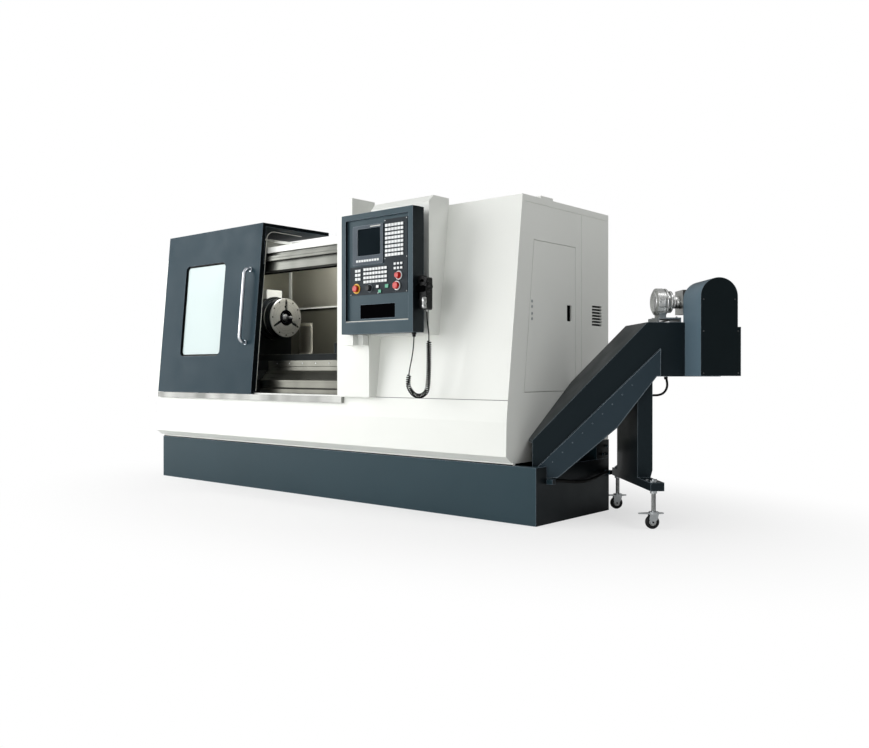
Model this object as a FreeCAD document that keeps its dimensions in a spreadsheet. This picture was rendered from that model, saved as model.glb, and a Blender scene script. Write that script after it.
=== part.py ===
import FreeCAD, Part
import math
import os
import re
import Sketcher

# A flat-bed turning lathe in a sheet-metal enclosure, with its chip conveyor.
# Frame: origin on the floor under the middle of the base tray, +X towards the tailstock end,
# +Y towards the back, +Z up. All sizes are millimetres, all angles degrees.

SIZES = {
    # base tray
    "base_length": 3644, "base_depth": 780, "base_height": 319, "base_wall": 12,
    "base_floor": 12, "base_rim": 45, "base_rim_thickness": 8,
    "notch_start": 105, "notch_width": 225, "notch_height": 90,
    # enclosure profile, front to back
    "end_setback": 160, "front_foot": -437, "lean_start": 613, "lean_slope": 0.1203,
    "lip_face": -446, "lip_inner": -399, "lip_low": 337, "lip_high": 372,
    "skirt_top": 640, "roof_height": 1846, "back_face": 660,
    "end_panel_thickness": 25, "left_cover_depth": 130,
    # opening, sill and rails
    "opening_left": -800, "opening_right": 372, "opening_top": 1703, "header_height": 42,
    "roof_opening": 400,
    "sill_height": 40, "sill_front": -455,
    # sliding door
    "door_left": -1779, "door_width": 1198, "door_low": 683, "door_front_low": -465,
    "door_front_high": -352, "door_high": 1920, "door_thickness": 30, "door_roof_back": 285,
    "door_return": 12, "door_roof_thickness": 26,
    "window_left": 268, "window_width": 514, "window_low": 960, "window_high": 1668,
    "window_corner": 40, "glass_thickness": 6, "glass_inset": 15, "seal_width": 6,
    "handle_low": 1040, "handle_high": 1600, "handle_reach": 66, "handle_radius": 13,
    "handle_inset": 88,
    # closing post and panel mount
    "post_width": 289, "post_top_width": 139, "post_front": -490, "post_high": 1940,
    "post_step": 1200, "mount_left": 641, "mount_right": 1120, "mount_front": -471,
    "mount_low": 1060, "mount_high": 1886, "mount_chamfer": 40,
    # control panel
    "panel_left": 543, "panel_width": 593, "panel_front": -630, "panel_depth": 96,
    "panel_low": 1070, "panel_height": 728, "panel_frame": 36, "panel_recess": 18,
    "pivot_offset": 32, "pivot_radius": 12, "pivot_clearance": 0.05, "bracket_height": 58,
    "button_radius": 21, "stop_radius": 20, "button_travel": 5, "plate_skin": 3,
    # spindle line
    "axis_y": -40, "axis_z": 1250, "chuck_face": -700, "chuck_radius": 148,
    "chuck_thickness": 95, "chuck_recess": 46, "spindle_bore": 26, "spindle_radius": 55,
    "nose_length": 492, "nose_radius": 165, "bearing_radius": 85, "bearing_width": 60, "running_gap": 0.05,
    "jaw_width": 20, "jaw_length": 62, "centre_reach": 78,
    # bed and carriage
    "bed_left": -1600, "bed_length": 3080, "bed_top": 967, "bed_front": -250, "bed_width": 440,
    "way_width": 90, "bed_web": 45, "pedestal_length": 620,
    "saddle_left": 70, "saddle_length": 380, "saddle_height": 70, "way_gap": 0.3,
    "cross_length": 420, "cross_width": 240, "cross_height": 70,
    "screw_radius": 20, "screw_gap": 0.5,
    "tailstock_left": 640, "tailstock_length": 420, "quill_radius": 45, "quill_out": 90,
    # conveyor, in its own frame: a along the run, w across it
    "conveyor_start": 263, "skew": 45,
    "trunk_width": 444, "trunk_wall": 10, "band_proud": 15,
    "belt_rise": 43.4, "belt_tail": 260, "belt_tail_height": 644,
    "head_top": 1120, "head_low": 815, "head_end": 1000, "trunk_start": -90,
    "cover_front": -225, "cover_left": 768, "cover_low": 819,
    "cover_step_high": 1083, "cover_skin": 4,
    "drive_height": 1238, "shaft_height": 960, "shaft_run": 876, "belt_radius": 52,
    "knee_run": 383, "knee_height": 529, "head_run": 609,
    "motor_run": 650, "motor_radius": 76, "motor_across": 145, "plate_run": 634, "plate_height": 29,
    "leg_run": 505, "leg_depth": 86, "leg_skin": 7, "leg_side": 20, "crossbar_low": 204,
    "crossbar_height": 46, "crossbar_start": -215, "crossbar_length": 760, "stem_run": 530,
    "stem_near": -188, "stem_far": 512, "stem_radius": 11, "caster_trail": 8, "wheel_radius": 31,
    "wheel_width": 24,
    # access door
    "access_front": -185, "access_width": 425, "access_low": 728, "access_high": 1597,
    "access_thickness": 22, "door_gap": 3,
    # curled handset lead
    "curl_wire": 3.5, "curl_radius": 14, "curl_count": 28,
    # coolant tank
    "tank_left": 150, "tank_front": 245, "tank_height": 430,
}

doc = FreeCAD.newDocument("turning_lathe")
sheet = doc.addObject("Spreadsheet::Sheet", "size")
for row, (alias, number) in enumerate(SIZES.items(), 1):
    sheet.set("A%d" % row, alias)
    sheet.set("B%d" % row, str(number))
    sheet.setAlias("B%d" % row, alias)
doc.recompute()

WORD = re.compile(r"[a-z_]+")
PIECES = []
COUNTER = {"feature": 0}


def formula(text):
    """An expression on the sheet, from one written with the bare names of its sizes."""
    return WORD.sub(lambda word: "size." + word[0] if word[0] in SIZES else word[0], str(text))


def value(text):
    """What a formula comes to now."""
    return float(sheet.evalExpression(formula(text)))


def fresh(kind):
    """A new inner name for a sketch or a feature."""
    COUNTER["feature"] += 1
    return "%s%03d" % (kind, COUNTER["feature"])


# ---- outlines: each is (points, arcs), with arcs as {edge number: (centre x, centre y, radius)}

def loop(points, arcs=None):
    return ("loop", points, arcs or {})


def rect(low_x, low_y, high_x, high_y):
    return loop([(low_x, low_y), (high_x, low_y), (high_x, high_y), (low_x, high_y)])


def ring(centre_x, centre_y, radius):
    return ("ring", centre_x, centre_y, radius)


def rounded(low_x, low_y, high_x, high_y, radius):
    """A rectangle with round corners."""
    lx, ly, hx, hy, r = ("(%s)" % text for text in (low_x, low_y, high_x, high_y, radius))
    points = [
        (lx + "+" + r, ly), (hx + "-" + r, ly), (hx, ly + "+" + r), (hx, hy + "-" + r),
        (hx + "-" + r, hy), (lx + "+" + r, hy), (lx, hy + "-" + r), (lx, ly + "+" + r),
    ]
    arcs = {
        1: (hx + "-" + r, ly + "+" + r, r), 3: (hx + "-" + r, hy + "-" + r, r),
        5: (lx + "+" + r, hy + "-" + r, r), 7: (lx + "+" + r, ly + "+" + r, r),
    }
    return loop(points, arcs)


def draw(sketch, shapes):
    """Put the outlines into a sketch, with every point and radius tied to its formula."""
    for shape in shapes:
        first = sketch.GeometryCount
        ties = []
        if shape[0] == "ring":
            kind, x, y, radius = shape
            centre = FreeCAD.Vector(value(x), value(y), 0)
            sketch.addGeometry(Part.Circle(centre, FreeCAD.Vector(0, 0, 1), value(radius)))
            ties = [("DistanceX", (first, 3), x), ("DistanceY", (first, 3), y), ("Radius", (first,), radius)]
        else:
            kind, points, arcs = shape
            count = len(points)
            spots = [FreeCAD.Vector(value(x), value(y), 0) for x, y in points]
            ends = []
            for i in range(count):
                here, there = spots[i], spots[(i + 1) % count]
                if i in arcs:
                    centre = FreeCAD.Vector(value(arcs[i][0]), value(arcs[i][1]), 0)
                    radius = value(arcs[i][2])
                    turn = (here - centre).cross(there - centre).z
                    forward = turn > -1e-6
                    low, high = (here, there) if forward else (there, here)
                    circle = Part.Circle(centre, FreeCAD.Vector(0, 0, 1), radius)
                    start = math.atan2(low.y - centre.y, low.x - centre.x)
                    stop = math.atan2(high.y - centre.y, high.x - centre.x)
                    if stop <= start:
                        stop += 2 * math.pi
                    sketch.addGeometry(Part.ArcOfCircle(circle, start, stop))
                    ends.append((1, 2) if forward else (2, 1))
                    # The chord is fixed by its ends, so the centre is tied along the chord's bisector.
                    steep = abs(there.y - here.y) > abs(there.x - here.x)
                    ties.append(("DistanceX" if steep else "DistanceY", (first + i, 3),
                                 arcs[i][0] if steep else arcs[i][1]))
                else:
                    sketch.addGeometry(Part.LineSegment(here, there))
                    ends.append((1, 2))
            for i in range(count):
                after = (i + 1) % count
                sketch.addConstraint(Sketcher.Constraint(
                    "Coincident", first + i, ends[i][1], first + after, ends[after][0]))
                ties.append(("DistanceX", (first + i, ends[i][0]), points[i][0]))
                ties.append(("DistanceY", (first + i, ends[i][0]), points[i][1]))
        for kind, place, text in ties:
            number = sketch.addConstraint(Sketcher.Constraint(kind, *place, value(text)))
            sketch.setExpression("Constraints[%d]" % number, formula(text))


class Piece:
    """One sub-part: a body of sketched features, named by its node."""

    def __init__(self, node, frame=("0", "0", "0", "0")):
        self.body = doc.addObject("PartDesign::Body", node)
        self.body.Label = node
        self.body.AllowCompound = True
        for axis, text in zip("xyz", frame):
            self.body.setExpression(".Placement.Base." + axis, formula(text))
        self.body.Placement.Rotation = FreeCAD.Rotation(FreeCAD.Vector(0, 0, 1), value(frame[3]))
        self.body.setExpression(".Placement.Rotation.Angle", formula(frame[3]))
        PIECES.append(self.body)

    def sketch(self, plane, shift, shapes):
        sketch = self.body.newObject("Sketcher::SketchObject", fresh("Sketch"))
        role = plane + "_Plane"
        support = [item for item in self.body.Origin.OriginFeatures if item.Role == role][0]
        sketch.AttachmentSupport = (support, [""])
        sketch.MapMode = "FlatFace"
        for axis, text in zip("xyz", shift):
            sketch.setExpression(".AttachmentOffset.Base." + axis, formula(text))
        draw(sketch, shapes)
        return sketch

    def solid(self, kind, plane, shapes, low, high):
        # The XZ plane looks along -Y, so its slab is drawn at the far side and grows to the near one.
        start = "-(%s)" % high if plane == "XZ" else low
        sketch = self.sketch(plane, ("0", "0", start), shapes)
        feature = self.body.newObject("PartDesign::" + kind, fresh(kind))
        feature.Profile = sketch
        feature.setExpression("Length", formula("(%s)-(%s)" % (high, low)))
        return feature

    def add(self, plane, shapes, low, high):
        self.solid("Pad", plane, shapes, low, high)
        return self

    def cut(self, plane, shapes, low, high):
        """Cut the outlines out between two levels, and make sure that something went."""
        doc.recompute()
        before = self.body.Shape.Volume
        feature = self.solid("Pocket", plane, shapes, low, high)
        feature.Reversed = True
        doc.recompute()
        if self.body.Shape.Volume > before - 1:
            raise ValueError("nothing was cut from " + self.body.Label)
        return self

    def turn(self, along, centre, profile):
        """Turn a profile of (distance along, radius) about an axis through centre."""
        x, y, z = centre
        plane, shift, line = {
            "X": ("XZ", (x, z, "-(%s)" % y), "H_Axis"),
            "Y": ("YZ", (y, z, x), "H_Axis"),
            "Z": ("XZ", (x, z, "-(%s)" % y), "V_Axis"),
        }[along]
        points = [(b, a) for a, b in profile] if along == "Z" else profile
        sketch = self.sketch(plane, shift, [loop(points)])
        feature = self.body.newObject("PartDesign::Revolution", fresh("Revolution"))
        feature.Profile = sketch
        feature.ReferenceAxis = (sketch, [line])
        feature.Angle = 360
        return self


def tube(low, high, inner, outer):
    """The turned profile of a plain ring."""
    return [(low, inner), (high, inner), (high, outer), (low, outer)]


def slabs(node, plane, parts, frame=("0", "0", "0", "0")):
    """A piece that is only slabs: each part is (outlines, low, high)."""
    piece = Piece(node, frame)
    for shapes, low, high in parts:
        piece.add(plane, shapes, low, high)
    return piece


def lean(height, inward="0"):
    """Depth of the leaning front face at a height, moved inward by a distance."""
    return "front_foot+lean_slope*((%s)-lean_start)+(%s)" % (height, inward)


def door_face(height, inward="0"):
    """Depth of the sliding door's outer face at a height."""
    slope = "(door_front_high-door_front_low)/(door_high-door_low)"
    return "door_front_low+%s*((%s)-door_low)+(%s)" % (slope, height, inward)


MACHINE = ("-base_length/2-6", "base_length/2-end_setback")


# ---- base, tank and bed ----

def base_tray():
    piece = Piece("base_tray")
    half_x, half_y = "base_length/2", "base_depth/2"
    piece.add("XY", [rect("-" + half_x, "-" + half_y, half_x, half_y)], "0", "base_height")
    inner_x, inner_y = half_x + "-base_wall", half_y + "-base_wall"
    piece.cut("XY", [rect("-(%s)" % inner_x, "-(%s)" % inner_y, inner_x, inner_y)],
              "base_floor", "base_height-base_rim_thickness")
    open_x, open_y = half_x + "-base_rim", half_y + "-base_rim"
    piece.cut("XY", [rect("-(%s)" % open_x, "-(%s)" % open_y, open_x, open_y)],
              "base_height-base_rim_thickness-1", "base_height+1")
    start = "-base_depth/2+notch_start"
    piece.cut("YZ", [loop([
        (start, "base_height-notch_height"), (start + "+90", "base_height-notch_height+6"),
        (start + "+notch_width", "base_height+5"), (start, "base_height+5"),
    ])], "base_length/2-base_wall-3", "base_length/2+3")
    piece.cut("XY", [rect("base_length/2-base_rim-20", start + "-45", "base_length/2-base_wall",
                          start + "+notch_width+50")],
              "base_height-base_rim_thickness-2", "base_height+2")
    for middle in ("-base_depth/2+notch_start+13", "base_depth/2-40"):
        piece.add("YZ", [rect("(%s)-15" % middle, "222", "(%s)+15" % middle, "248")],
                  "base_length/2", "base_length/2+38")


def coolant_tank():
    """The tank hangs in the tray and its head rests on the rim, flush with the tray's back corner."""
    piece = Piece("coolant_tank")
    right, back = "base_length/2", "base_depth/2"
    left = right + "-tank_left"
    inner_right, inner_back = right + "-base_rim-1", back + "-base_rim-1"
    piece.add("XY", [rect(left, "tank_front", right, back)], "base_height", "tank_height")
    piece.add("XY", [rect(left, "tank_front", inner_right, inner_back)], "base_floor", "base_height")
    piece.cut("XY", [rect(left + "+4", "tank_front+4", inner_right + "-4", inner_back + "-4")],
              "base_floor+4", "tank_height-4")
    for depth, height in (("-30", "345"), ("-30", "392"), ("-72", "345")):
        piece.turn("X", (right, back + depth, height), [("0", "0"), ("12", "0"), ("12", "8"), ("0", "8")])


def bed():
    piece = Piece("bed")
    right = "bed_left+bed_length"
    back = "bed_front+bed_width"
    piece.add("YZ", [loop([
        ("bed_front", "bed_top-330"), (back, "bed_top-330"), (back, "bed_top"),
        (back + "-way_width", "bed_top"), (back + "-way_width", "bed_top-60"),
        ("bed_front+way_width", "bed_top-60"), ("bed_front+way_width", "bed_top"),
        ("bed_front", "bed_top"),
    ])], "bed_left", right)
    for start in ("bed_left", right + "-pedestal_length"):
        piece.add("YZ", [loop([
            ("bed_front+20", "base_floor"), (back + "-20", "base_floor"), (back + "-45", "bed_top-330"),
            ("bed_front+45", "bed_top-330"),
        ])], start, "(%s)+pedestal_length" % start)
    piece.cut("XZ", [rounded("bed_left+pedestal_length+140", "bed_top-290",
                             right + "-pedestal_length-140", "bed_top-120", "40")],
              "bed_front+bed_web", back + "-bed_web")
    for start in ("bed_left", right + "-40"):
        piece.add("YZ", [rect("axis_y-60", "bed_top-60", "axis_y+60", "bed_top-4")],
                  start, "(%s)+40" % start)
        piece.cut("YZ", [ring("axis_y", "bed_top-32", "10+running_gap")],
                  "(%s)-1" % start, "(%s)+41" % start)


def z_screw():
    right = "bed_left+bed_length"
    Piece("z_screw").turn("X", ("0", "axis_y", "bed_top-32"), [
        ("bed_left-20", "0"), (right, "0"), (right, "10"), (right + "-42", "10"),
        (right + "-42", "screw_radius"), ("bed_left+42", "screw_radius"), ("bed_left+42", "10"),
        ("bed_left-20", "10"),
    ])


# ---- headstock, spindle and chuck ----

HEAD_LEFT = "chuck_face-chuck_thickness-733"
HEAD_RIGHT = "chuck_face-chuck_thickness-3"


def headstock():
    """The spindle housing: a box at the rear, a round nose with a cap on it, and a low base."""
    piece = Piece("headstock")
    back = "bed_front+bed_width"
    piece.add("YZ", [loop([
        ("bed_front", "bed_top"), (back, "bed_top"), (back, "bed_top+70"), (back + "-40", "bed_top+110"),
        (back + "-40", "axis_z+190"), (back + "-80", "axis_z+230"), ("bed_front+70", "axis_z+230"),
        ("bed_front-20", "axis_z+120"), ("bed_front-20", "bed_top+110"),
    ])], HEAD_LEFT, HEAD_RIGHT + "-nose_length")
    piece.add("YZ", [ring("axis_y", "axis_z", "nose_radius")],
              HEAD_RIGHT + "-nose_length", HEAD_RIGHT + "-24")
    piece.add("YZ", [ring("axis_y", "axis_z", "nose_radius-16")], HEAD_RIGHT + "-24", HEAD_RIGHT)
    piece.add("YZ", [rect("bed_front+20", "bed_top", back + "-50", "axis_z-nose_radius+50")],
              HEAD_RIGHT + "-nose_length", HEAD_RIGHT + "-60")
    piece.add("XY", [rounded(HEAD_RIGHT + "-170", "axis_y-75", HEAD_RIGHT + "-40", "axis_y+75", "8")],
              "axis_z+nose_radius-26", "axis_z+nose_radius+52")
    piece.cut("YZ", [ring("axis_y", "axis_z", "spindle_radius+8")], HEAD_LEFT + "-1", HEAD_RIGHT + "+1")
    for start in (HEAD_LEFT, HEAD_RIGHT + "-bearing_width"):
        piece.cut("YZ", [ring("axis_y", "axis_z", "bearing_radius")], start, "(%s)+bearing_width" % start)


def spindle_bearings():
    piece = Piece("spindle_bearings")
    for start in (HEAD_LEFT, HEAD_RIGHT + "-bearing_width"):
        piece.turn("X", (start, "axis_y", "axis_z"),
                   tube("0", "bearing_width", "spindle_radius+running_gap", "bearing_radius"))


def spindle():
    front = "chuck_face-chuck_thickness+25"
    Piece("spindle").turn("X", ("0", "axis_y", "axis_z"),
                          tube(HEAD_LEFT + "-30", front, "spindle_bore", "spindle_radius"))


def around(radius, angle):
    """A point round the spindle line, as (depth, height)."""
    return ("axis_y+(%s)*cos(%s)" % (radius, angle), "axis_z+(%s)*sin(%s)" % (radius, angle))


def beam(inner, outer, width, angle):
    """A radial rectangle round the spindle line."""
    points = []
    for radius, side in ((inner, "-1"), (outer, "-1"), (outer, "1"), (inner, "1")):
        y, z = around(radius, angle)
        points.append((y + "-(%s)*(%s)/2*sin(%s)" % (side, width, angle),
                       z + "+(%s)*(%s)/2*cos(%s)" % (side, width, angle)))
    return loop(points)


JAW_ANGLES = ("90", "210", "330")


def chuck_body():
    piece = Piece("chuck_body")
    back = "chuck_face-chuck_thickness"
    piece.turn("X", ("0", "axis_y", "axis_z"), [
        (back, "spindle_radius"), (back + "+25", "spindle_radius"), (back + "+25", "spindle_bore"),
        ("chuck_face-30", "spindle_bore"), ("chuck_face-30", "chuck_recess"),
        ("chuck_face", "chuck_recess"), ("chuck_face", "chuck_radius-3"),
        ("chuck_face-3", "chuck_radius"), (back + "+22", "chuck_radius"),
        (back + "+22", "chuck_radius-6"), (back, "chuck_radius-6"),
    ])
    for angle in JAW_ANGLES:
        piece.cut("YZ", [beam("chuck_recess-6", "chuck_recess+18+jaw_length", "jaw_width", angle)],
                  "chuck_face-34", "chuck_face+1")
        piece.cut("YZ", [beam("chuck_recess+30", "chuck_recess+44", "jaw_width*2", angle)],
                  "chuck_face-8", "chuck_face+1")
    for number in range(6):
        y, z = around("chuck_radius-16", str(30 + 60 * number))
        piece.cut("YZ", [ring(y, z, "7")], "chuck_face-10", "chuck_face+1")


def chuck_jaw(number):
    angle = JAW_ANGLES[number - 1]
    piece = Piece("chuck_jaw_%d" % number)
    piece.add("YZ", [beam("chuck_recess+10", "chuck_recess+10+jaw_length", "jaw_width-running_gap*2", angle)],
              "chuck_face-34+running_gap", "chuck_face-8")
    for step in ("18", "52"):
        piece.cut("YZ", [beam("chuck_recess+%s" % step, "chuck_recess+%s+6" % step, "jaw_width+4", angle)],
                  "chuck_face-14", "chuck_face")


def chuck_centre():
    """A point that is held in the spindle's nose, with a flange in the chuck's recess."""
    Piece("chuck_centre").turn("X", ("0", "axis_y", "axis_z"), [
        ("chuck_face-70", "0"), ("chuck_face+centre_reach", "0"), ("chuck_face+centre_reach-24", "12"),
        ("chuck_face+12", "12"),
        ("chuck_face-8", "24"), ("chuck_face-12", "34"), ("chuck_face-30", "34"),
        ("chuck_face-30", "spindle_bore"), ("chuck_face-70", "spindle_bore"),
    ])


# ---- carriage, turret and tailstock ----

def saddle():
    piece = Piece("saddle")
    low = "bed_top+running_gap"
    back = "bed_front+bed_width"
    right = "saddle_left+saddle_length"
    piece.add("XY", [rect("saddle_left", "bed_front-8", right, back + "+8")], low, low + "+saddle_height")
    piece.cut("XY", [rect("saddle_left-1", "bed_front+60", "saddle_left+60", back + "-60")],
              low + "-1", low + "+saddle_height+1")
    piece.cut("XY", [rect(right + "-60", "bed_front+60", right + "+1", back + "-60")],
              low + "-1", low + "+saddle_height+1")
    piece.add("YZ", [rect("axis_y-45", "bed_top-58", "axis_y+45", low)],
              "saddle_left+110", right + "-110")
    piece.cut("YZ", [ring("axis_y", "bed_top-32", "screw_radius+screw_gap")],
              "saddle_left+109", right + "-109")


def cross_slide():
    piece = Piece("cross_slide")
    low = "bed_top+running_gap*2+saddle_height"
    top = low + "+cross_height"
    left = "saddle_left+70"
    piece.add("XY", [rect(left, "-200", left + "+cross_width", "-200+cross_length")], low, top)
    piece.add("YZ", [loop([
        ("5", top), ("215", top), ("215", "axis_z+90"), ("170", "axis_z+135"), ("50", "axis_z+135"),
        ("5", "axis_z+90"),
    ])], "saddle_left-108", left + "+cross_width-60")
    piece.cut("YZ", [ring("110", "axis_z+50", "40+running_gap")], "saddle_left-109", "saddle_left-40")


def turret_disc():
    piece = Piece("turret_disc")
    centre_y, centre_z = "110", "axis_z+50"
    corners = []
    for number in range(8):
        turn = str(22.5 + 45 * number)
        corners.append(("%s+130*cos(%s)" % (centre_y, turn), "%s+130*sin(%s)" % (centre_z, turn)))
    front, back = "saddle_left-178", "saddle_left-108-way_gap"
    piece.add("YZ", [loop(corners)], front, back)
    piece.add("YZ", [ring(centre_y, centre_z, "40")], back, "saddle_left-42")
    for number in range(8):
        turn = str(45 * number)
        y = "%s+92*cos(%s)" % (centre_y, turn)
        z = "%s+92*sin(%s)" % (centre_z, turn)
        piece.cut("YZ", [rect(y + "-12", z + "-12", y + "+12", z + "+12")], front + "-1", front + "+40")
    piece.add("YZ", [ring(centre_y, centre_z, "46")], front + "-14", front)


def tailstock():
    piece = Piece("tailstock")
    low = "bed_top+running_gap"
    right = "tailstock_left+tailstock_length"
    piece.add("YZ", [loop([
        ("bed_front+4", low), ("bed_front+bed_width-4", low), ("bed_front+bed_width-4", low + "+55"),
        ("axis_y+95", low + "+110"), ("axis_y+95", "axis_z+40"), ("axis_y+50", "axis_z+88"),
        ("axis_y-50", "axis_z+88"), ("axis_y-95", "axis_z+40"), ("axis_y-95", low + "+110"),
        ("bed_front+4", low + "+55"),
    ])], "tailstock_left", right)
    piece.cut("XZ", [loop([("tailstock_left-1", "axis_z-100"), ("tailstock_left-1", low + "+90"),
                           ("tailstock_left+70", low + "+90")])], "bed_front", "bed_front+bed_width")
    piece.cut("YZ", [ring("axis_y", "axis_z", "quill_radius+running_gap")], "tailstock_left-1", right + "-40")


def quill():
    front = "tailstock_left-quill_out"
    Piece("quill").turn("X", ("0", "axis_y", "axis_z"), [
        (front, "20+running_gap"), (front + "+110", "20+running_gap"), (front + "+110", "0"),
        (front + "+quill_out+300", "0"), (front + "+quill_out+300", "quill_radius"),
        (front + "+4", "quill_radius"), (front, "quill_radius-4"),
    ])


def live_centre():
    front = "tailstock_left-quill_out"
    Piece("live_centre").turn("X", ("0", "axis_y", "axis_z"), [
        (front + "-100", "0"), (front + "+100", "0"), (front + "+100", "20"), (front + "-0.3", "20"),
        (front + "-0.3", "34"), (front + "-40", "34"), (front + "-48", "28"), (front + "-52", "28"),
    ])


# ---- enclosure ----

def profile_front(inward):
    """The lip, skirt and lean of the front, as depths at their heights, moved inward."""
    return [
        ("lip_inner+(%s)*0.35" % inward, "lip_low+(%s)" % inward),
        ("lip_face+(%s)" % inward, "lip_high+(%s)*0.5" % inward),
        ("front_foot-5+(%s)" % inward, "lean_start-53"), ("front_foot+(%s)" % inward, "lean_start"),
        (lean("skirt_top+43", inward), "skirt_top+43"),
    ]


def front_skirt():
    inner = profile_front("20")
    points = [("-base_depth/2+10", "base_height"), ("-base_depth/2+30", "base_height"),
              ("-base_depth/2+30", "lip_low+20")]
    points += inner + list(reversed(profile_front("0"))) + [("-base_depth/2+10", "lip_low")]
    slabs("front_skirt", "YZ", [([loop(points)],) + MACHINE])


def front_panel():
    piece = Piece("front_panel")
    low = "skirt_top+43"
    piece.add("YZ", [loop([(lean(low), low), (lean(low, "20"), low),
                           (lean("roof_height", "20"), "roof_height"),
                           (lean("roof_height"), "roof_height")])], *MACHINE)
    piece.cut("XZ", [rect("opening_left", "skirt_top+50", "opening_right", "opening_top")],
              "front_foot-20", "front_foot+240")
    piece.cut("XZ", [rect("opening_left", "opening_top+header_height", "opening_right-20", "roof_height+1")],
              "front_foot-20", "front_foot+240")


def roof_panel():
    piece = Piece("roof_panel")
    low = "roof_height-20"
    piece.add("YZ", [loop([(lean(low, "20"), low), ("back_face-20", low), ("back_face-20", "roof_height"),
                           (lean("roof_height", "20"), "roof_height")])], *MACHINE)
    right = MACHINE[1]
    piece.cut("XY", [rect("opening_left", "-300", "opening_right-20", "roof_opening-300")],
              "roof_height-30", "roof_height+1")
    piece.add("XY", [rect(right + "-320", "-107", right, "18")], "roof_height", "roof_height+14")


def rear_panel():
    foot = "base_depth/2-30"
    piece = slabs("rear_panel", "YZ", [([loop([
        (foot, "base_height"), (foot + "+20", "base_height"), (foot + "+20", "lip_low"),
        ("back_face", "lip_low"), ("back_face", "roof_height"), ("back_face-20", "roof_height"),
        ("back_face-20", "lip_low+20"), (foot, "lip_low+20"),
    ])],) + MACHINE])
    for left in ("-1500", "-700", "100", "900"):
        piece.cut("XZ", [rect(left, "500", left + "+600", "1650")], "back_face-4", "back_face+1")


def end_outline():
    """What the end panels fill inside the front, the roof and the rear panel."""
    foot = "base_depth/2-30"
    return [("-(%s)" % foot, "lip_low-7"), (foot, "lip_low-7"), (foot, "lip_low+20"),
            ("back_face-20", "lip_low+20"), ("back_face-20", "roof_height-20"),
            (lean("roof_height-20", "20"), "roof_height-20")] + list(reversed(profile_front("20"))) + [
            ("-(%s)" % foot, "lip_low+20")]


def access_outline(grow):
    """The access door's outline on the end panel, its front edge leaning with the machine."""
    back, low, high = "access_front+access_width+24", "access_low", "access_high"
    return [("access_front-88-(%s)" % grow, "%s-(%s)" % (low, grow)),
            ("%s+(%s)" % (back, grow), "%s-(%s)" % (low, grow)),
            ("%s+(%s)" % (back, grow), "%s+(%s)" % (high, grow)),
            ("access_front+10-(%s)" % grow, "%s+(%s)" % (high, grow))]


def end_panel():
    piece = Piece("end_panel")
    right = MACHINE[1]
    inside = right + "-end_panel_thickness"
    piece.add("YZ", [loop(end_outline())], inside, right)
    piece.cut("YZ", [loop(access_outline("-20"))], inside + "-1", right + "+1")
    piece.cut("YZ", [loop(access_outline("door_gap"))], right + "-access_thickness+5", right + "+1")
    piece.cut("YZ", [loop([("-190", "lip_low-12"), ("205", "lip_low-12"), ("205", "700"), ("150", "700"),
                           ("-190", "480")])], inside + "-1", right + "+1")
    for number in range(7):
        low = "1130+%d" % (number * 19)
        piece.cut("YZ", [rect("459", low, "577", low + "+13")], inside + "-1", right + "+1")
    piece.cut("YZ", [rect("333", "lip_low+24", "337", "roof_height-40")], right + "-3", right + "+1")
    piece.cut("YZ", [rect("lean_slope*1200+front_foot+21", "roof_height-40",
                          "back_face-22", "roof_height-37")],
              right + "-3", right + "+1")


def access_door():
    piece = Piece("access_door")
    right = MACHINE[1]
    piece.add("YZ", [loop(access_outline("0"))], right + "-access_thickness+5", right)
    piece.cut("YZ", [rounded("171", "1146", "222", "1243", "6")], right + "-12", right + "+1")
    piece.add("YZ", [rounded("180", "1160", "200", "1229", "4")], right + "-12", right + "-2")


def left_cover():
    piece = Piece("left_cover")
    left = MACHINE[0]
    piece.add("YZ", [loop(end_outline())], left, left + "+end_panel_thickness")
    outer = [(lean("620"), "620"), ("back_face-60", "620"), ("back_face-60", "1750"), (lean("1750"), "1750")]
    piece.add("YZ", [loop(outer)], left + "-left_cover_depth", left)
    inner = [(lean("626", "6"), "626"), ("back_face-66", "626"), ("back_face-66", "1744"),
             (lean("1744", "6"), "1744")]
    piece.cut("YZ", [loop(inner)], left + "-left_cover_depth+6", left)


def back_wall():
    slabs("back_wall", "XZ", [([rect(MACHINE[0] + "+end_panel_thickness", "base_height",
                                     MACHINE[1] + "-end_panel_thickness", "1400")],
                               "base_depth/2-base_rim", "base_depth/2-base_rim+6")])


def back_lining():
    piece = Piece("back_lining")
    face = "base_depth/2-base_rim-12"
    piece.add("XZ", [rect(MACHINE[0] + "+end_panel_thickness", "1343", MACHINE[1] + "-end_panel_thickness",
                          "roof_height-20")], face, face + "+12")
    for seam in ("-1114", "200"):
        piece.cut("XZ", [rect(seam, "1340", seam + "+4", "roof_height-19")], face + "-1", face + "+4")


def splash_guard():
    slabs("splash_guard", "YZ", [([loop([
        ("bed_front", "921"), ("bed_front-6", "921"), ("bed_front-6", "880"), ("bed_front-4", "876"),
        ("bed_front-4", "850"), ("bed_front-80", "781"), ("bed_front-80", "770"), ("bed_front-72", "770"),
        ("bed_front-72", "730"), ("bed_front-84", "718"), ("bed_front-84", "690"), ("bed_front-79", "690"),
        ("bed_front-79", "715"), ("bed_front-67", "727"), ("bed_front-67", "776"), ("bed_front", "838"),
    ])], "chuck_face-chuck_thickness+2", "bed_left+bed_length")])


def sill_strip():
    top = "skirt_top+sill_height"
    slabs("sill_strip", "YZ", [([loop([
        ("sill_front", "skirt_top"), (lean("skirt_top"), "skirt_top"), (lean(top), top), ("sill_front", top),
    ])], MACHINE[0] + "+28", "opening_right-20")])


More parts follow.
